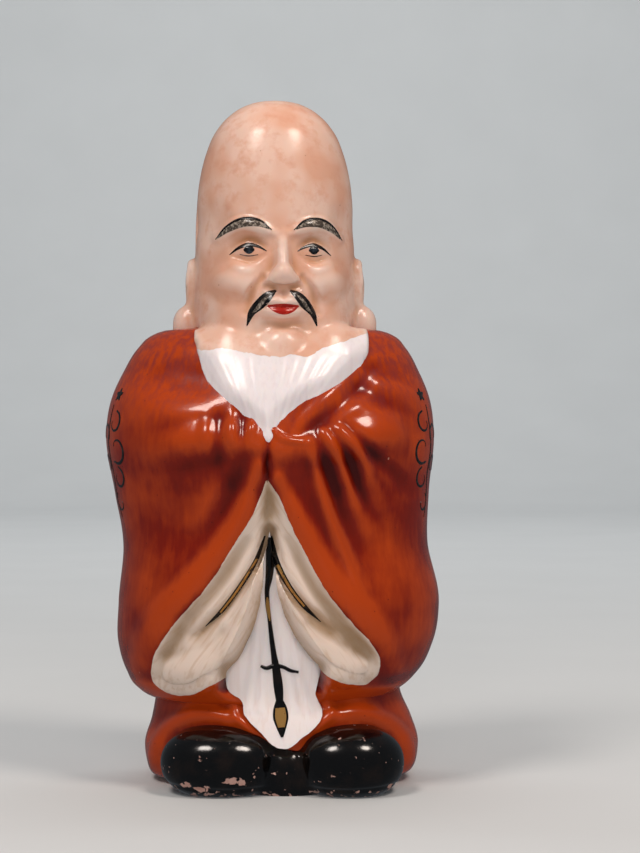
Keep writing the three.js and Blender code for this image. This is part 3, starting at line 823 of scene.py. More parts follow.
def open_cuffs(clay):
    """The insides of the sleeves, set back behind the rims, with their rolls and creases."""
    for cuff in (RIGHT_CUFF, LEFT_CUFF):
        clay.sink(cuff, 1.0, -0.15, 1.7)
    clay.look()
    # Rolls of the inner edge, which widen into the sleeve's lower lip.
    clay.stroke((-0.9, 33.6, 1.1, 0.5), (-2.3, 28.4, 1.5, 1.0), (-4.2, 23.6, 1.9, 1.3),
                (-6.8, 19.2, 2.8, 1.4), (-10.4, 16.9, 3.9, 1.5), (-14.0, 16.6, 3.4, 1.2))
    clay.stroke((0.6, 33.6, 1.1, 0.5), (2.2, 28.0, 1.5, 1.0), (4.7, 23.4, 2.0, 1.3),
                (7.8, 19.6, 2.8, 1.4), (11.0, 17.6, 3.4, 1.5), (13.0, 17.8, 2.8, 1.1))
    clay.look()
    # Creases between the rolls and the outer sides, each ending in a soft hollow.
    clay.stroke((-0.7, 36.6, 0.9, -0.8), (-1.9, 33.4, 1.1, -1.2), (-4.7, 28.6, 1.3, -1.5),
                (-6.9, 25.8, 1.5, -1.5), (-9.0, 23.8, 1.7, -1.2), (-10.4, 22.4, 1.9, -0.5), sharp=True)
    clay.stroke((-7.2, 23.2, 1.6, -0.3), (-9.6, 22.2, 2.0, -0.35), (-12.0, 21.8, 2.2, -0.15))
    clay.stroke((-3.4, 36.0, 1.2, -0.2), (-7.8, 29.4, 1.6, -0.45), (-12.6, 23.8, 1.8, -0.4),
                (-15.2, 19.8, 1.6, -0.2))
    clay.stroke((0.1, 36.6, 0.9, -0.8), (1.1, 32.6, 1.1, -1.2), (3.2, 28.8, 1.3, -1.5),
                (5.0, 26.6, 1.4, -1.5), (7.0, 24.6, 1.6, -1.2), (8.6, 23.2, 1.8, -0.5), sharp=True)
    clay.stroke((5.8, 24.2, 1.5, -0.3), (8.2, 22.8, 1.9, -0.35), (10.4, 21.8, 2.0, -0.15))
    clay.stroke((2.6, 36.0, 1.2, -0.2), (6.4, 29.0, 1.6, -0.45), (10.6, 23.8, 1.8, -0.4),
                (13.8, 19.8, 1.6, -0.2))
    # The rolls round over towards the panel, and the sleeves part along the front.
    x, z, facing = clay.seen("front")
    outside = -depth_inside(x, z, even_line(APRON, 0.5, closed=True))
    slump = 1 - ease(outside, -0.2, 1.7)
    clay.co[:, 1] += 2.2 * slump * facing * ease(z, 12.0, 15.0)
    clay.stroke((-0.2, 37.2, 0.7, -0.5), (-0.2, 38.4, 0.8, -0.1), (-0.3, 43.4, 0.9, -0.1),
                (-0.3, 45.0, 1.1, -0.6), (-0.3, 47.4, 1.2, -0.8), (-0.1, 50.6, 1.2, -0.7),
                sharp=True)
    clay.look()


def hang_sleeves(clay):
    """Back of the sleeves: they hang from the elbows in long soft folds."""
    for side in (1, -1):
        clay.stroke((side * 42, 58, 2.5, 0.2), (side * 46, 48, 3.5, 0.6), (side * 45, 34, 4.0, 0.6),
                    (side * 42, 20, 3.5, 0.3), view="round")
        clay.stroke((side * 36, 56, 2.5, -0.2), (side * 38, 46, 3.0, -0.5), (side * 37, 36, 3.5, -0.4),
                    (side * 33, 24, 3.0, -0.1), view="round")


def model_mantle():
    mantle = thrown("mantle", MANTLE, around=500, up=220)
    clay = Clay(mantle)
    for press in (press_forearms, fill_sleeves, fold_sleeves, press_lapel, open_cuffs, hang_sleeves):
        press(clay)
    # The back is softer than the front.
    clay.relax(3, ease(clay.co[:, 1], -6.0, 4.0) * 0.8 + 0.2)
    clay.finish()
    # Painted shade in hollows and on what faces down, with glaze pooling in the hollows.
    note_pools_and_shade(mantle, run=0.45)
    return mantle


def half_of_mantle(name, side):
    """Everything on one side of the line where the sleeves meet."""
    if side < 0:
        return block(name, (-FAR, -FAR, 0), (MEETING_X, SLEEVE_BACK, HEIGHT))
    return block(name, (MEETING_X, -FAR, 0), (FAR, SLEEVE_BACK, HEIGHT))


# The robe under it: skirt, back and collar.

def model_robe():
    robe = thrown("robe_enamelled", ROBE, around=340, up=250)
    clay = Clay(robe)
    # Skirt: full over each foot, with a rolled hem round the shoes and beside the panel.
    clay.dab(-8.8, 10.5, 8.5, 6.0, 0.9)
    clay.dab(12.4, 10.5, 8.0, 6.0, 0.9)
    clay.look()
    clay.stroke((-17.6, 1.0, 1.3, 0.3), (-16.8, 5.2, 1.6, 0.5), (-14.2, 9.0, 1.6, 0.6),
                (-9.6, 10.9, 1.5, 0.6), (-4.6, 10.1, 1.4, 0.6), (-1.6, 8.4, 1.2, 0.5),
                (0.9, 6.2, 1.0, 0.4))
    clay.stroke((20.4, 1.0, 1.3, 0.3), (19.8, 5.0, 1.6, 0.5), (17.4, 8.9, 1.6, 0.6),
                (12.4, 11.0, 1.5, 0.6), (7.4, 10.2, 1.4, 0.6), (4.6, 8.2, 1.2, 0.5),
                (2.2, 6.2, 1.0, 0.4))
    clay.stroke((-7.0, 15.6, 0.9, 0.3), (-5.4, 13.0, 1.1, 0.7), (-4.6, 11.0, 1.1, 0.6),
                (-2.6, 8.8, 1.0, 0.4))
    clay.stroke((6.9, 17.0, 0.9, 0.3), (7.3, 14.0, 1.0, 0.6), (8.5, 11.6, 1.1, 0.6),
                (6.8, 9.2, 1.0, 0.4))
    clay.stroke((-12.6, 14.8, 2.2, -0.5), (-14.2, 11.6, 2.6, -0.4), (-16.6, 8.4, 2.4, -0.15))
    clay.stroke((13.8, 14.8, 2.2, -0.4), (16.6, 11.8, 2.6, -0.4), (19.0, 8.8, 2.4, -0.15))
    clay.look()
    # Back: a collar roll, a yoke crease, and folds that hang from the shoulders to the hem.
    for side in (1, -1):
        clay.stroke((side * 63, 61.5, 1.6, 0.7), (side * 48, 62.2, 1.6, 0.7),
                    (side * 34, 63.4, 1.6, 0.6), (side * 22, 64.6, 1.4, 0.3), view="round")
        clay.stroke((side * 63, 59.0, 1.4, -0.4), (side * 48, 59.8, 1.4, -0.4),
                    (side * 34, 61.2, 1.4, -0.3), view="round")
        clay.stroke((side * 56, 55, 2.0, -0.1), (side * 54, 42, 2.8, -0.6), (side * 52, 26, 3.4, -0.7),
                    (side * 50, 10, 3.6, -0.6), (side * 49, 2, 3.0, -0.3), view="round")
        clay.stroke((side * 50, 50, 2.2, 0.2), (side * 47, 36, 3.0, 0.5), (side * 44, 20, 3.4, 0.5),
                    (side * 42, 4, 3.0, 0.3), view="round")
        clay.stroke((side * 40, 12, 2.4, -0.4), (side * 38, 7, 2.6, -0.5), (side * 37, 1, 2.2, -0.3),
                    view="round")
    clay.stroke((0.5, 13.0, 1.5, -0.3), (1.4, 5.5, 2.6, -0.8), (1.5, 0.5, 2.4, -0.6))
    clay.relax(2)
    clay.finish()
    # Painted shade in hollows and on what faces down, with glaze pooling in the hollows.
    note_pools_and_shade(robe, run=0.5)
    return robe


# The head, with the top of the beard that grows from it.

# The face is laid out in equal thirds from brow to nose to chin, five eyes wide.
FACE_HALF = 11.6
EAR_CUTS = {-1: -11.9, 1: 12.5}  # where the ears are luted to the skull
BROW_Z = 80.2
THIRD = 8.6
NOSE_Z = BROW_Z - THIRD
CHIN_Z = NOSE_Z - THIRD
EYE = FACE_HALF * 2 / 5  # an eye's width, and its middle's distance from the nose
EYE_Z = BROW_Z - THIRD * 0.36
MOUTH_Z = NOSE_Z - THIRD / 3


def press_face(clay):
    """A calm, even, elderly face in low relief."""
    for side in (1, -1):
        # Temple, cheek and jaw.
        clay.dab(side * 9.6, BROW_Z + 0.8, 3.4, 4.2, -0.5)
        clay.dab(side * EYE * 1.42, NOSE_Z + 0.9, 4.2, 3.6, 1.15)
        clay.dab(side * 7.6, CHIN_Z + 3.6, 4.0, 4.4, 0.7)
        # Eye hollow and brow.
        clay.dab(side * EYE, EYE_Z + 0.2, EYE * 0.72, 2.5, -1.05)
        clay.stroke((side * 1.3, BROW_Z - 0.9, 1.0, 0.35), (side * 3.0, BROW_Z - 0.1, 1.5, 0.8),
                    (side * 5.6, BROW_Z + 0.4, 1.6, 0.8), (side * 8.6, BROW_Z - 1.2, 1.4, 0.4))
    # Nose and the mouth's swell.
    clay.stroke((0, BROW_Z - 1.2, 1.5, 0.35), (0, EYE_Z - 0.4, 1.5, 1.1), (0, NOSE_Z + 2.2, 1.8, 2.1))
    clay.dab(0, MOUTH_Z + 0.2, 5.0, 3.6, 1.0)
    clay.dab(0, CHIN_Z + 1.3, 3.8, 2.6, 1.0)
    clay.look()
    clay.dab(0, NOSE_Z + 1.5, 2.3, 2.0, 1.0)
    for side in (1, -1):
        clay.dab(side * 1.75, NOSE_Z + 1.0, 1.35, 1.3, 0.95)
        # Lids: the eyeball's swell, its fold above and the pouch below.
        clay.dab(side * EYE, EYE_Z - 0.1, EYE * 0.56, 1.75, 0.95)
    clay.look()
    for side in (1, -1):
        clay.stroke((side * 2.3, EYE_Z + 0.3, 0.5, -0.1), (side * EYE, EYE_Z + 1.45, 0.6, -0.32),
                    (side * 7.0, EYE_Z + 0.3, 0.5, -0.1))
        clay.stroke((side * 2.6, EYE_Z - 0.9, 0.5, -0.1), (side * EYE, EYE_Z - 1.75, 0.6, -0.3),
                    (side * 6.9, EYE_Z - 0.9, 0.5, -0.1))
        clay.stroke((side * 3.0, EYE_Z - 2.4, 0.8, 0.1), (side * 5.0, EYE_Z - 3.0, 0.9, 0.28),
                    (side * 7.2, EYE_Z - 2.2, 0.8, 0.1))
        # Fold from the nose's wing past the mouth.
        clay.stroke((side * 2.9, NOSE_Z + 1.5, 0.7, -0.4), (side * 4.3, NOSE_Z - 0.6, 1.0, -0.6),
                    (side * 5.2, MOUTH_Z - 0.6, 1.0, -0.35))
        clay.stroke((side * 1.4, NOSE_Z - 0.15, 0.7, -0.4), (side * 2.3, NOSE_Z + 0.15, 0.7, -0.4))
    clay.stroke((0, NOSE_Z - 0.6, 0.6, -0.22), (0, MOUTH_Z + 1.1, 0.6, -0.18))
    # Lips.
    clay.stroke((-2.9, MOUTH_Z + 0.45, 0.6, 0.1), (-0.9, MOUTH_Z + 0.85, 0.8, 0.35),
                (0, MOUTH_Z + 0.7, 0.8, 0.3), (0.9, MOUTH_Z + 0.85, 0.8, 0.35),
                (2.9, MOUTH_Z + 0.45, 0.6, 0.1))
    clay.stroke((-2.4, MOUTH_Z - 0.5, 0.7, 0.1), (0, MOUTH_Z - 0.95, 1.0, 0.5),
                (2.4, MOUTH_Z - 0.5, 0.7, 0.1))
    clay.stroke((-3.5, MOUTH_Z + 0.25, 0.5, -0.2), (-1.5, MOUTH_Z - 0.02, 0.5, -0.35),
                (0, MOUTH_Z - 0.08, 0.5, -0.35), (1.5, MOUTH_Z - 0.02, 0.5, -0.35),
                (3.5, MOUTH_Z + 0.25, 0.5, -0.2))
    clay.stroke((-2.4, MOUTH_Z - 2.2, 0.9, -0.2), (0, MOUTH_Z - 2.5, 1.0, -0.4),
                (2.4, MOUTH_Z - 2.2, 0.9, -0.2))


def model_head():
    """Skull, ears, jaw and beard as one form."""
    skull = thrown("skull", SKULL, around=200, up=150, turn=HEAD_TURN)
    swell = pebble("beard_swell", (0.9, -6.4, 54.6), (16.2, 10.4, 9.2), facets=96)
    bib = thrown("beard_bib", MANTLE, around=260, up=160, grow=1.3)
    edge = prism("beard_edge", BEARD, step=0.5)
    front = block("beard_front", (-FAR, -FAR, 40), (FAR, -5.5, HEIGHT))
    for part in (swell, bib):
        carve(part, edge, "INTERSECT")
        carve(part, front, "INTERSECT")
    discard(edge, front)
    ears = []
    for side, cut in EAR_CUTS.items():
        ears.append(pebble("ear_shell", (cut - side * 0.3, 0.4, 71.2), (1.5, 3.1, 5.3), 64))
        ears.append(pebble("ear_lobe", (cut + side * 0.6, -0.4, 66.4), (2.4, 2.8, 3.5), 64))
    head = blended("head_form", [skull, swell, bib, *ears], FINE, 14)
    clay = Clay(head)
    # The beard lies down to the chest at its edge and swells over the joined hands.
    press_forearms(clay)
    clay.dab(-0.3, 48.5, 6, 6, 0.15)
    x, z, facing = clay.seen("front")
    inside = depth_inside(x, z, even_line(BEARD, 0.5, closed=True))
    thin = (1 - ease(inside, 0.2, 3.2)) * (1 - ease(z, 60.5, 64.5)) * (clay.co[:, 1] < -8)
    clay.co[:, 1] += 1.35 * thin
    melt = ease(z, 60.0, 63.0) * (1 - ease(z, 67.0, 70.0)) * (np.abs(x) < 11)
    clay.relax(50, melt)
    clay.look()
    clay.turn = HEAD_TURN
    press_face(clay)
    clay.turn = 0.0
    for view in ("left", "right"):
        press_ear(clay, view)
    clay.relax(1)
    # Strands of the beard, drawn together towards its point.
    x, z, facing = clay.seen("front")
    spread = np.clip((z - 47.0) / 15.0, 0.25, 1.0)
    lanes = (x + 0.3) / spread
    comb = np.array([
        noise.noise(Vector((lane * 1.15, 0.0, height * 0.10))) for lane, height in zip(lanes, z)])
    below = (1 - ease(z, 60.5, 62.5)) * facing
    clay.co += clay.normal * (0.07 * comb * below)[:, None]
    clay.finish()
    note_pools_and_shade(head, 60)
    return head


def wash_edge(name):
    """Everything below the ragged lower edge of the flesh wash."""
    top = [(-18.0, 64.4), (-12.0, 63.4), (-9.6, 62.6), (-7.0, 62.9), (-3.8, 62.3), (-1.6, 61.9),
           (0.8, 61.6), (3.2, 61.9), (5.4, 61.7), (7.2, 62.8), (9.4, 63.6), (11.6, 64.4),
           (14.4, 65.4), (20.0, 66.0)]
    loop = []
    for x, z in even_line(top, 0.3):
        z += 0.28 * noise.noise(Vector((x * 0.9, 1.0, 0)))
        z += 0.14 * noise.noise(Vector((x * 2.8, 5.0, 0)))
        loop.append((x, z))
    return pushed_through(name, [*loop, (20.0, 40.0), (-18.0, 40.0)], BEARD_BACK)


def press_ear(clay, view):
    """Rim, inner ridge, bowl and lobe of a long ear."""
    y = 0.4
    clay.stroke((y - 2.0, 73.0, 0.7, 0.2), (y - 1.4, 75.4, 0.8, 0.45), (y + 0.6, 76.1, 0.8, 0.5),
                (y + 2.2, 74.6, 0.8, 0.5), (y + 2.5, 71.6, 0.8, 0.45), (y + 2.0, 68.6, 0.7, 0.3),
                view=view)
    clay.stroke((y + 1.0, 74.4, 0.6, -0.4), (y + 1.4, 72.0, 0.7, -0.45), (y + 0.9, 69.4, 0.6, -0.2),
                view=view)
    clay.dab(y - 0.6, 71.0, 1.5, 2.4, -0.9, view=view)
    clay.dab(y - 0.4, 66.4, 1.6, 1.6, -0.2, view=view)


# Shoes: two rounded toes joined by a dark web of clay.

def model_shoes():
    right = pebble("toe", (-6.9, -12.0, 4.3), (8.8, 7.2, 5.4), 96, 0.93)
    left = pebble("toe", (11.1, -12.0, 4.3), (7.9, 7.2, 5.4), 96, 0.93)
    web = pebble("web", (2.2, -11.2, 2.6), (5.8, 5.4, 4.6), 48, 0.85)
    shoes = blended("shoes", [right, left, web], 0.2, 28)
    clay = Clay(shoes)
    clay.dab(-3.2, 2.6, 2.6, 2.6, -0.35)
    clay.stroke((0.0, 7.0, 1.4, -0.1), (0.3, 4.6, 1.6, -0.25), (0.2, 1.5, 1.4, -0.15))
    clay.stroke((4.4, 7.0, 1.2, -0.1), (4.2, 4.6, 1.4, -0.2), (4.2, 1.5, 1.2, -0.1))
    # A welt line near the sole.
    clay.stroke((-14.2, 1.5, 0.5, -0.12), (-7, 1.1, 0.5, -0.18), (1.0, 1.3, 0.5, -0.1))
    clay.stroke((3.4, 1.3, 0.5, -0.1), (11, 1.1, 0.5, -0.18), (17.6, 1.5, 0.5, -0.12))
    # Flakes struck out of the enamel.
    for centre, radii in CHIPS:
        gap = np.linalg.norm((clay.co - centre) / np.array(radii), axis=1)
        clay.co -= clay.normal * (0.12 * (1 - ease(gap, 0.7, 1.15)))[:, None]
    clay.finish()
    note_pools_and_shade(shoes, 60)
    ground = block("above_ground", (-FAR, -FAR, 0), (FAR, 0, FAR))
    carve(shoes, ground, "INTERSECT")
    discard(ground)
    return shoes


# Painted lines: thin films of paint laid over a finished surface.

def paint_film(name, rows, tree, aim, thick=0.07, lift=0.0):
    """A film of paint along rows of (across, up, half-width), laid on the surface that `aim` sees."""
    line = even_line(rows, 0.16)
    bm = bmesh.new()
    across_steps = 6
    bmesh.ops.create_grid(bm, x_segments=len(line) - 1, y_segments=across_steps, size=1.0)
    side_step = np.gradient(line[:, :2], axis=0)
    side_step /= np.hypot(*side_step.T)[:, None]
    for vert in bm.verts:
        row = round((vert.co.x + 1) / 2 * (len(line) - 1))
        share = vert.co.y
        across = line[row, 0] - side_step[row, 1] * share * line[row, 2]
        up = line[row, 1] + side_step[row, 0] * share * line[row, 2]
        origin, direction = aim(across, up)
        spot, normal, _, _ = tree.ray_cast(origin, direction)
        if spot is None:
            raise ValueError(f"{name} runs off its surface at {across:.1f}, {up:.1f}")
        crown = thick * (1 - share ** 4)
        vert.co = spot + normal * (lift + 0.015 + crown)
    film = form_of(name, bm)
    apply_modifier(film, "SOLIDIFY", thickness=thick + 0.04, offset=-1.0)
    bm = bmesh.new()
    bm.from_mesh(film.data)
    bmesh.ops.remove_doubles(bm, verts=bm.verts[:], dist=0.002)
    bmesh.ops.recalc_face_normals(bm, faces=bm.faces[:])
    bm.to_mesh(film.data)
    bm.free()
    return film


def from_front(across, up):
    return Vector((across, -FAR, up)), Vector((0, 1, 0))


def from_face(across, up):
    """Looks at the face along its own turned direction."""
    turn = Matrix.Rotation(HEAD_TURN, 3, "Z")
    return turn @ Vector((across, -FAR, up)), turn @ Vector((0, 1, 0))


def from_round(across, up):
    """Looks at the body's axis from an angle round it, `across` millimetres from the front."""
    angle = across / ROUND
    way = Vector((math.sin(angle), -math.cos(angle), 0))
    return way * FAR + Vector((0, 0, up)), -way


def joined(name, films):
    bm = bmesh.new()
    for film in films:
        bm.from_mesh(film.data)
    discard(*films)
    return form_of(name, bm)


def surface_of(form):
    return BVHTree.FromObject(form, bpy.context.evaluated_depsgraph_get())


def paint_face(head):
    """Lips, brows, eyes and moustache, each brushed on the relief below it."""
    tree = surface_of(head)
    lips = paint_film("painted_lips", [
        (-2.2, MOUTH_Z + 0.15, 0.12), (-1.1, MOUTH_Z - 0.2, 0.6), (0, MOUTH_Z - 0.35, 0.78),
        (1.1, MOUTH_Z - 0.2, 0.6), (2.2, MOUTH_Z + 0.15, 0.12)], tree, from_face, thick=0.05)
    finish_piece(lips, LIP_RED, "red_enamel")
    # What is painted on both sides: its paint, how far it lies above the glaze, and its strokes.
    pairs = {
        "painted_brows": (BROW_GREY, 0.0, [[
            (1.9, BROW_Z - 0.3, 0.15), (3.2, BROW_Z + 0.45, 0.55), (5.4, BROW_Z + 0.7, 0.72),
            (7.6, BROW_Z - 0.2, 0.5), (8.9, BROW_Z - 1.3, 0.12)]]),
        "brow_outlines": (LINE_BLACK, 0.05, [[
            (1.6, BROW_Z - 0.5, 0.05), (3.1, BROW_Z + 0.75, 0.16), (5.4, BROW_Z + 1.2, 0.18),
            (7.8, BROW_Z + 0.1, 0.14), (9.1, BROW_Z - 1.5, 0.04)]]),
        "painted_lash_lines": (LINE_BLACK, 0.0, [
            [(2.2, EYE_Z - 0.35, 0.06), (3.4, EYE_Z + 0.35, 0.2), (EYE + 0.1, EYE_Z + 0.62, 0.3),
             (6.0, EYE_Z + 0.2, 0.22), (7.3, EYE_Z - 0.75, 0.05)],
            [(3.4, EYE_Z - 0.85, 0.03), (EYE + 0.1, EYE_Z - 1.0, 0.07),
             (5.9, EYE_Z - 0.75, 0.03)]]),
        "painted_pupils": (EYE_GREY, 0.02, [[
            (EYE - 0.75, EYE_Z - 0.15, 0.1), (EYE - 0.35, EYE_Z - 0.12, 0.52),
            (EYE, EYE_Z - 0.1, 0.62), (EYE + 0.35, EYE_Z - 0.12, 0.52),
            (EYE + 0.75, EYE_Z - 0.15, 0.1)]]),
        "painted_moustache": (LINE_BLACK, 0.0, [[
            (1.0, NOSE_Z - 0.5, 0.15), (2.0, NOSE_Z - 1.2, 0.6), (3.2, NOSE_Z - 2.4, 0.75),
            (4.3, MOUTH_Z - 0.7, 0.5), (5.0, MOUTH_Z - 2.6, 0.08)]]),
        "moustache_lights": (BROW_GREY, 0.06, [[
            (1.9, NOSE_Z - 1.1, 0.08), (2.8, NOSE_Z - 2.0, 0.26), (3.7, NOSE_Z - 3.2, 0.22),
            (4.2, MOUTH_Z - 0.8, 0.06)]]),
    }
    for name, (paint, lift, strokes) in pairs.items():
        films = []
        for side in (1, -1):
            for rows in strokes:
                mirrored = [(side * x, z, w) for x, z, w in rows]
                films.append(paint_film(name, mirrored, tree, from_face, thick=0.05, lift=lift))
        finish_piece(joined(name, films), paint, "black_enamel")


def paint_sash(panel, mantle):
    """The cord with its knot and gilt tassel, and the gilt lines down the sleeve creases."""
    tree = surface_of(panel)
    cord = [(-0.1, 36.2, 0.2), (-0.1, 34.6, 0.5), (-0.05, 32.2, 0.6), (-0.2, 30.4, 0.5),
            (-0.45, 28.8, 0.36), (-0.4, 26.8, 0.32), (-0.15, 24.8, 0.28), (0.15, 22.2, 0.34),
            (0.5, 19.6, 0.42), (0.85, 17.4, 0.58), (1.15, 15.0, 0.66), (1.35, 12.9, 0.5)]
    knot = [(-1.3, 18.05, 0.2), (-0.6, 17.75, 0.28), (0.6, 18.1, 0.3), (1.8, 17.9, 0.27),
            (3.0, 17.35, 0.25), (4.0, 17.2, 0.15)]
    tassel = [(1.3, 13.2, 0.45), (1.4, 12.2, 0.85), (1.5, 10.9, 0.98), (1.6, 9.6, 0.6),
              (1.7, 8.3, 0.08)]
    films = [paint_film("cord", cord, tree, from_front, thick=0.28),
             paint_film("knot", knot, tree, from_front, thick=0.3),
             paint_film("tassel", [(x, z, w + 0.1) for x, z, w in tassel], tree, from_front, 0.2)]
    finish_piece(joined("sash_cord_line", films), BLACK, "black_enamel", "sash_cord")
    gilt = [paint_film("tassel_gilt", [(x, z, w * 0.78) for x, z, w in tassel[1:-1]], tree,
                       from_front, 0.06, lift=0.2),
            paint_film("cord_gilt", [(-0.45, 27.8, 0.06), (-0.42, 26.8, 0.24),
                                     (-0.25, 25.4, 0.22), (-0.1, 24.4, 0.06)],
                       tree, from_front, 0.05, lift=0.28)]
    finish_piece(joined("sash_gilding", gilt), GOLD, "black_enamel")
    creases = [
        [(-0.75, 36.4, 0.12), (-1.9, 33.2, 0.3), (-4.9, 28.4, 0.34), (-7.0, 25.7, 0.3),
         (-9.1, 23.7, 0.05)],
        [(0.15, 36.4, 0.12), (1.05, 32.4, 0.45), (3.1, 28.8, 0.36), (4.8, 26.6, 0.34),
         (7.1, 24.4, 0.05)]]
    lines, gilt = [], []
    tree = surface_of(mantle)
    for rows in creases:
        lines.append(paint_film("crease_line", rows, tree, from_front, 0.05))
        inner = [(x, z, w * 0.5) for x, z, w in rows[1:-1]]
        gilt.append(paint_film("crease_gilt", inner, tree, from_front, 0.04, lift=0.05))
    finish_piece(joined("lining_crease_lines", lines), BLACK, "black_enamel")
    finish_piece(joined("lining_crease_gilding", gilt), GOLD, "black_enamel")


def curl(centre, radius, start, end, wide, squeeze=0.7):
    """A brushed C-scroll: an arc that tightens and thins towards its end."""
    rows = []
    for i in range(9):
        t = i / 8
        angle = math.radians(start + (end - start) * t)
        reach = radius * (1 - squeeze * t ** 1.6)
        thick = wide * (0.35 + 1.3 * math.sin(math.pi * min(1.0, t + 0.12)) * (1 - 0.5 * t))
        rows.append((centre[0] + reach * math.cos(angle), centre[1] + reach * math.sin(angle),
                     max(0.05, thick)))
    return rows


def paint_scrolls(name, mantle, side):
    """A column of plain curls under a small flower, down the outside of a sleeve."""
    tree = surface_of(mantle)
    lane = 25.4  # how far round from the front the column runs
    strokes = [
        curl((lane + 0.4, 52.4), 1.7, 100, 380, 0.15),
        curl((lane - 0.2, 48.6), 2.2, -60, -330, 0.17),
        curl((lane + 0.6, 44.4), 1.7, 110, 400, 0.15),
        curl((lane + 3.6, 50.6), 1.8, 200, -60, 0.15),
        curl((lane + 3.8, 46.0), 1.9, -20, 250, 0.15),
        curl((lane + 1.2, 40.8), 1.5, 60, -200, 0.14),
        [(lane + 1.6, 55.0, 0.08), (lane + 1.9, 52.0, 0.16), (lane + 2.4, 48.6, 0.2),
         (lane + 2.2, 45.0, 0.18), (lane + 2.6, 41.6, 0.14), (lane + 2.0, 38.6, 0.05)],
    ]
    for petal in range(5):
        angle = math.radians(72 * petal + 20)
        tip = (lane + 0.9 + 0.95 * math.cos(angle), 56.4 + 0.95 * math.sin(angle))
        strokes.append([(lane + 0.9, 56.4, 0.2), ((lane + 0.9 + tip[0]) / 2, (56.4 + tip[1]) / 2, 0.32),
                        (*tip, 0.12)])
    films = []
    for rows in strokes:
        films.append(paint_film("scroll", [(side * x, z, w) for x, z, w in rows], tree, from_round,
                                thick=0.05))
    finish_piece(joined(name, films), LINE_BLACK, "black_enamel")


# Build the figure.

def cut_sleeves(mantle, robe, head_form, apron):
    """Parts the mantle into two red sleeves and their two white insides."""
    cuffs = {-1: prism("right_cuff_edge", RIGHT_CUFF, wander=0.12),
             1: prism("left_cuff_edge", LEFT_CUFF, wander=0.12)}
    sleeves, linings = [], []
    for word, side in SIDES:
        half = half_of_mantle("half", side)
        sleeve = carve(copy_of(mantle, f"{word}_sleeve_enamelled"), half, "INTERSECT")
        carve(sleeve, robe)
        lining = carve(copy_of(sleeve, f"{word}_sleeve_inside"), cuffs[side], "INTERSECT")
        for tool in (head_form, cuffs[-1], cuffs[1], apron):
            carve(sleeve, tool)
        carve(lining, apron)
        lend_pools_and_shade(mantle, sleeve)
        lend_pools_and_shade(mantle, lining)
        sleeves.append(sleeve)
        linings.append(lining)
        paint_scrolls(f"{word}_sleeve_scrolls", mantle, side)
        discard(half)
    discard(*cuffs.values())
    return sleeves, linings


def cut_panel(robe, mantle, apron):
    """The white panel, a little proud of the robe, with soft pleats and the painted sash."""
    panel = thrown("front_panel_glazed", ROBE, 420, 250, grow=PANEL_PROUD, low=-1, high=60)
    clay = Clay(panel)
    for foot in (-3.2, -1.4, 3.4, 5.2):
        clay.stroke((foot * 0.15, 34, 0.5, 0.1), (foot * 0.6, 22, 0.8, 0.16), (foot, 12, 0.9, 0.2))
    clay.finish()
    note_pools_and_shade(panel)
    whole = copy_of(panel, "whole_panel")
    carve(panel, apron, "INTERSECT")
    carve(panel, robe)
    lend_pools_and_shade(whole, panel)
    paint_sash(whole, mantle)
    discard(whole)
    return panel


def part_shoes(robe):
    """Two shoes, parted in the middle of the web between them."""
    shoes = model_shoes()
    whole = copy_of(shoes, "whole_shoes")
    carve(shoes, robe)
    for word, low, high in (("right", -FAR, SHOES_PART), ("left", SHOES_PART, FAR)):
        part = block("half", (low, -FAR, -1), (high, FAR, FAR))
        shoe = carve(copy_of(shoes, f"{word}_shoe_enamelled"), part, "INTERSECT")
        lend_pools_and_shade(whole, shoe)
        finish_piece(shoe, SHOE_BLACK, "black_enamel", f"{word}_shoe")
        discard(part)
    discard(whole, shoes)


def part_ears(head, head_form, others):
    """Takes the ears off the head, where they are luted to the skull."""
    for word, side in SIDES:
        near, far = sorted((EAR_CUTS[side], side * FAR))
        part = block("ear_side", (near, -5.0, 62.0), (far, 6.0, 78.0))
        ear = carve(copy_of(head_form, f"{word}_ear_glazed"), part, "INTERSECT")
        for tool in others:
            carve(ear, tool)
        carve(head, part)
        lend_pools_and_shade(head_form, ear)
        finish_piece(ear, FLESH, "flesh_glaze", f"{word}_ear")
        discard(part)


def hollow_robe(robe, head_form):
    """Empties the robe to its cast wall and closes its foot with a slab that has an air hole."""
    inside = thrown("robe_space", ROBE, 64, 48, grow=-WALL, low=-1, high=60)
    for tool in (head_form, inside):
        carve(robe, tool)
    slab = thrown("base_slab", ROBE, 160, 12, grow=-WALL - 0.02, low=0.35, high=4.0)
    bm = bmesh.new()
    bmesh.ops.create_cone(bm, cap_ends=True, segments=64, radius1=AIR_HOLE + 0.2,
                          radius2=AIR_HOLE - 0.2, depth=10)
    vent = form_of("vent", bm)
    carve(slab, vent)
    finish_piece(slab, BISCUIT, "bare_biscuit", "base_plate")
    discard(inside, vent)


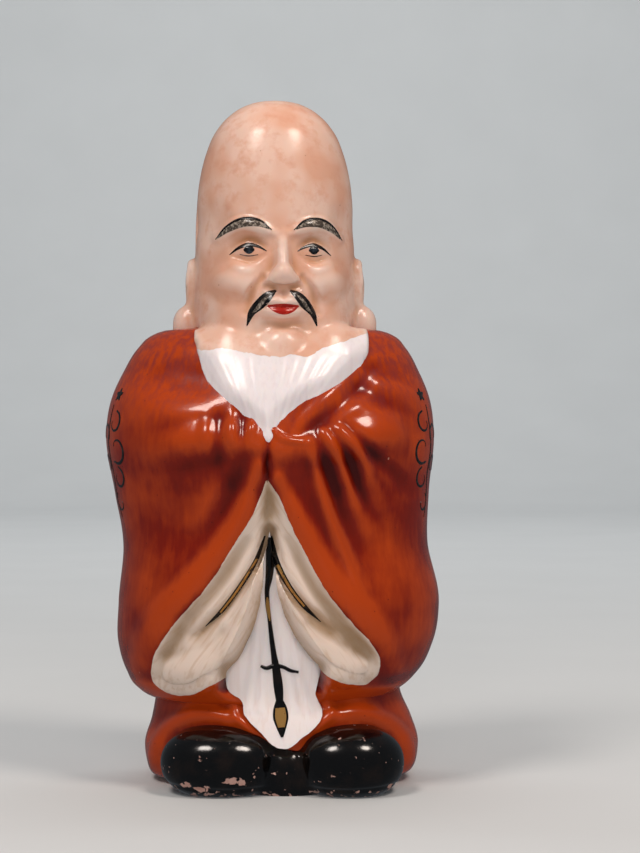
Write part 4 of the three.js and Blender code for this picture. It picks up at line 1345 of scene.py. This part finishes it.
def build_figure():
    robe = model_robe()
    head_form = model_head()
    mantle = model_mantle()
    wash = wash_edge("below_wash")
    beard = carve(copy_of(head_form, "beard_glazed"), wash, "INTERSECT")
    head = carve(copy_of(head_form, "head_glazed"), wash)
    apron = prism("apron_edge", APRON, wander=0.1)
    sleeves, linings = cut_sleeves(mantle, robe, head_form, apron)
    panel = cut_panel(robe, mantle, apron)
    finish_piece(panel, PANEL_WHITE, "white_glaze", "front_panel")
    part_shoes(robe)
    part_ears(head, head_form, (*sleeves, robe))
    for (word, _), sleeve, lining in zip(SIDES, sleeves, linings):
        finish_piece(sleeve, RED, "red_enamel", f"{word}_sleeve")
        finish_piece(lining, LINING_WHITE, "white_glaze", f"{word}_sleeve_lining")
    paint_face(head)
    lend_pools_and_shade(head_form, head)
    lend_pools_and_shade(head_form, beard)
    hollow_robe(robe, head_form)
    finish_piece(robe, RED, "red_enamel", "robe_body")
    finish_piece(head, FLESH, "flesh_glaze", "head")
    finish_piece(beard, BEARD_WHITE, "white_glaze", "beard")
    discard(mantle, head_form, wash, apron)


build_figure()


# Stage: a pale floor that sweeps up behind, soft boxes above, and the camera straight in front.

# The floor's sweep, in metres.
SWEEP_NEAR = -0.6
SWEEP_LENGTH = 2.4
SWEEP_RISE = 0.9  # where the floor starts to curve up
SWEEP_RADIUS = 0.45
SWEEP_HALF = 1.6  # half its width

CAMERA_SPOT = (0.0070, -0.289, 0.0518)
CAMERA_LENS = 82.3  # in millimetres, on a sensor 36 mm wide


def lay_floor():
    bm = bmesh.new()
    bmesh.ops.create_grid(bm, x_segments=2, y_segments=60, size=1.0)
    for vert in bm.verts:
        run = (vert.co.y + 1) / 2 * SWEEP_LENGTH + SWEEP_NEAR
        past = max(0.0, run - SWEEP_RISE)
        angle = min(past / SWEEP_RADIUS, math.pi / 2)
        back = min(run, SWEEP_RISE + SWEEP_RADIUS * math.sin(angle))
        straight_up = max(0.0, past - SWEEP_RADIUS * math.pi / 2)
        rise = SWEEP_RADIUS * (1 - math.cos(angle)) + straight_up
        vert.co = (vert.co.x * SWEEP_HALF, back, rise)
    floor = form_of("studio_floor", bm)
    floor.data.shade_smooth()
    material, tree, shader, place = new_material("pale_paper_sweep")
    grain = add(tree, "TexNoise", {"Vector": place, "Scale": per_mm(0.02), "Detail": 3.0})
    tone = add(tree, "MixRGB", {
        "Fac": grain.outputs["Fac"], "Color1": colour("#CFD1D1"), "Color2": colour("#D6D8D8")})
    wire(tree, shader, {"Base Color": tone.outputs[0], "Roughness": 0.9})
    floor.data.materials.append(material)
    # Kept out of reflections, so that the pale floor doesn't veil the dark enamels.
    floor.visible_glossy = False


def soft_box(name, spot, target, size, power, tint="#FFFFFF", shows=True):
    """A soft lamp; it shows in reflections or only fills shadows."""
    light = bpy.data.lights.new(name, "AREA")
    light.shape = "ELLIPSE"
    light.size, light.size_y = size
    light.energy = power
    light.color = colour(tint)[:3]
    box = bpy.data.objects.new(name, light)
    box.location = spot
    box.rotation_euler = (Vector(target) - Vector(spot)).to_track_quat("-Z", "Y").to_euler()
    box.visible_glossy = shows
    bpy.context.scene.collection.objects.link(box)


def light_stage():
    middle = (0, 0, 0.06)
    soft_box("left_window", (-0.17, -0.20, 0.42), middle, (0.13, 0.13), 0.8, "#FFF4EC")
    soft_box("right_window", (0.19, -0.18, 0.41), middle, (0.12, 0.12), 0.75, "#FFF1E6")
    soft_box("front_fill", (0.05, -0.70, 0.22), middle, (0.5, 0.4), 1.45, shows=False)
    soft_box("backdrop_wash", (0.0, 0.35, 0.95), (0, 1.2, 0.25), (1.2, 0.5), 9.0, shows=False)
    world = bpy.data.worlds.new("studio")
    world.use_nodes = True
    background = world.node_tree.nodes["Background"]
    background.inputs["Color"].default_value = colour("#BFC7D0")
    background.inputs["Strength"].default_value = 0.2
    bpy.context.scene.world = world
    # The Standard view shows the finishes' hex colours without a filmic curve.
    bpy.context.scene.view_settings.view_transform = "Standard"


def place_camera():
    data = bpy.data.cameras.new("camera")
    data.sensor_width = 36.0
    data.lens = CAMERA_LENS
    data.clip_start = 0.01
    camera = bpy.data.objects.new("camera", data)
    camera.location = CAMERA_SPOT
    camera.rotation_euler = (math.pi / 2, 0, 0)
    bpy.context.scene.collection.objects.link(camera)
    bpy.context.scene.camera = camera


lay_floor()
light_stage()
place_camera()
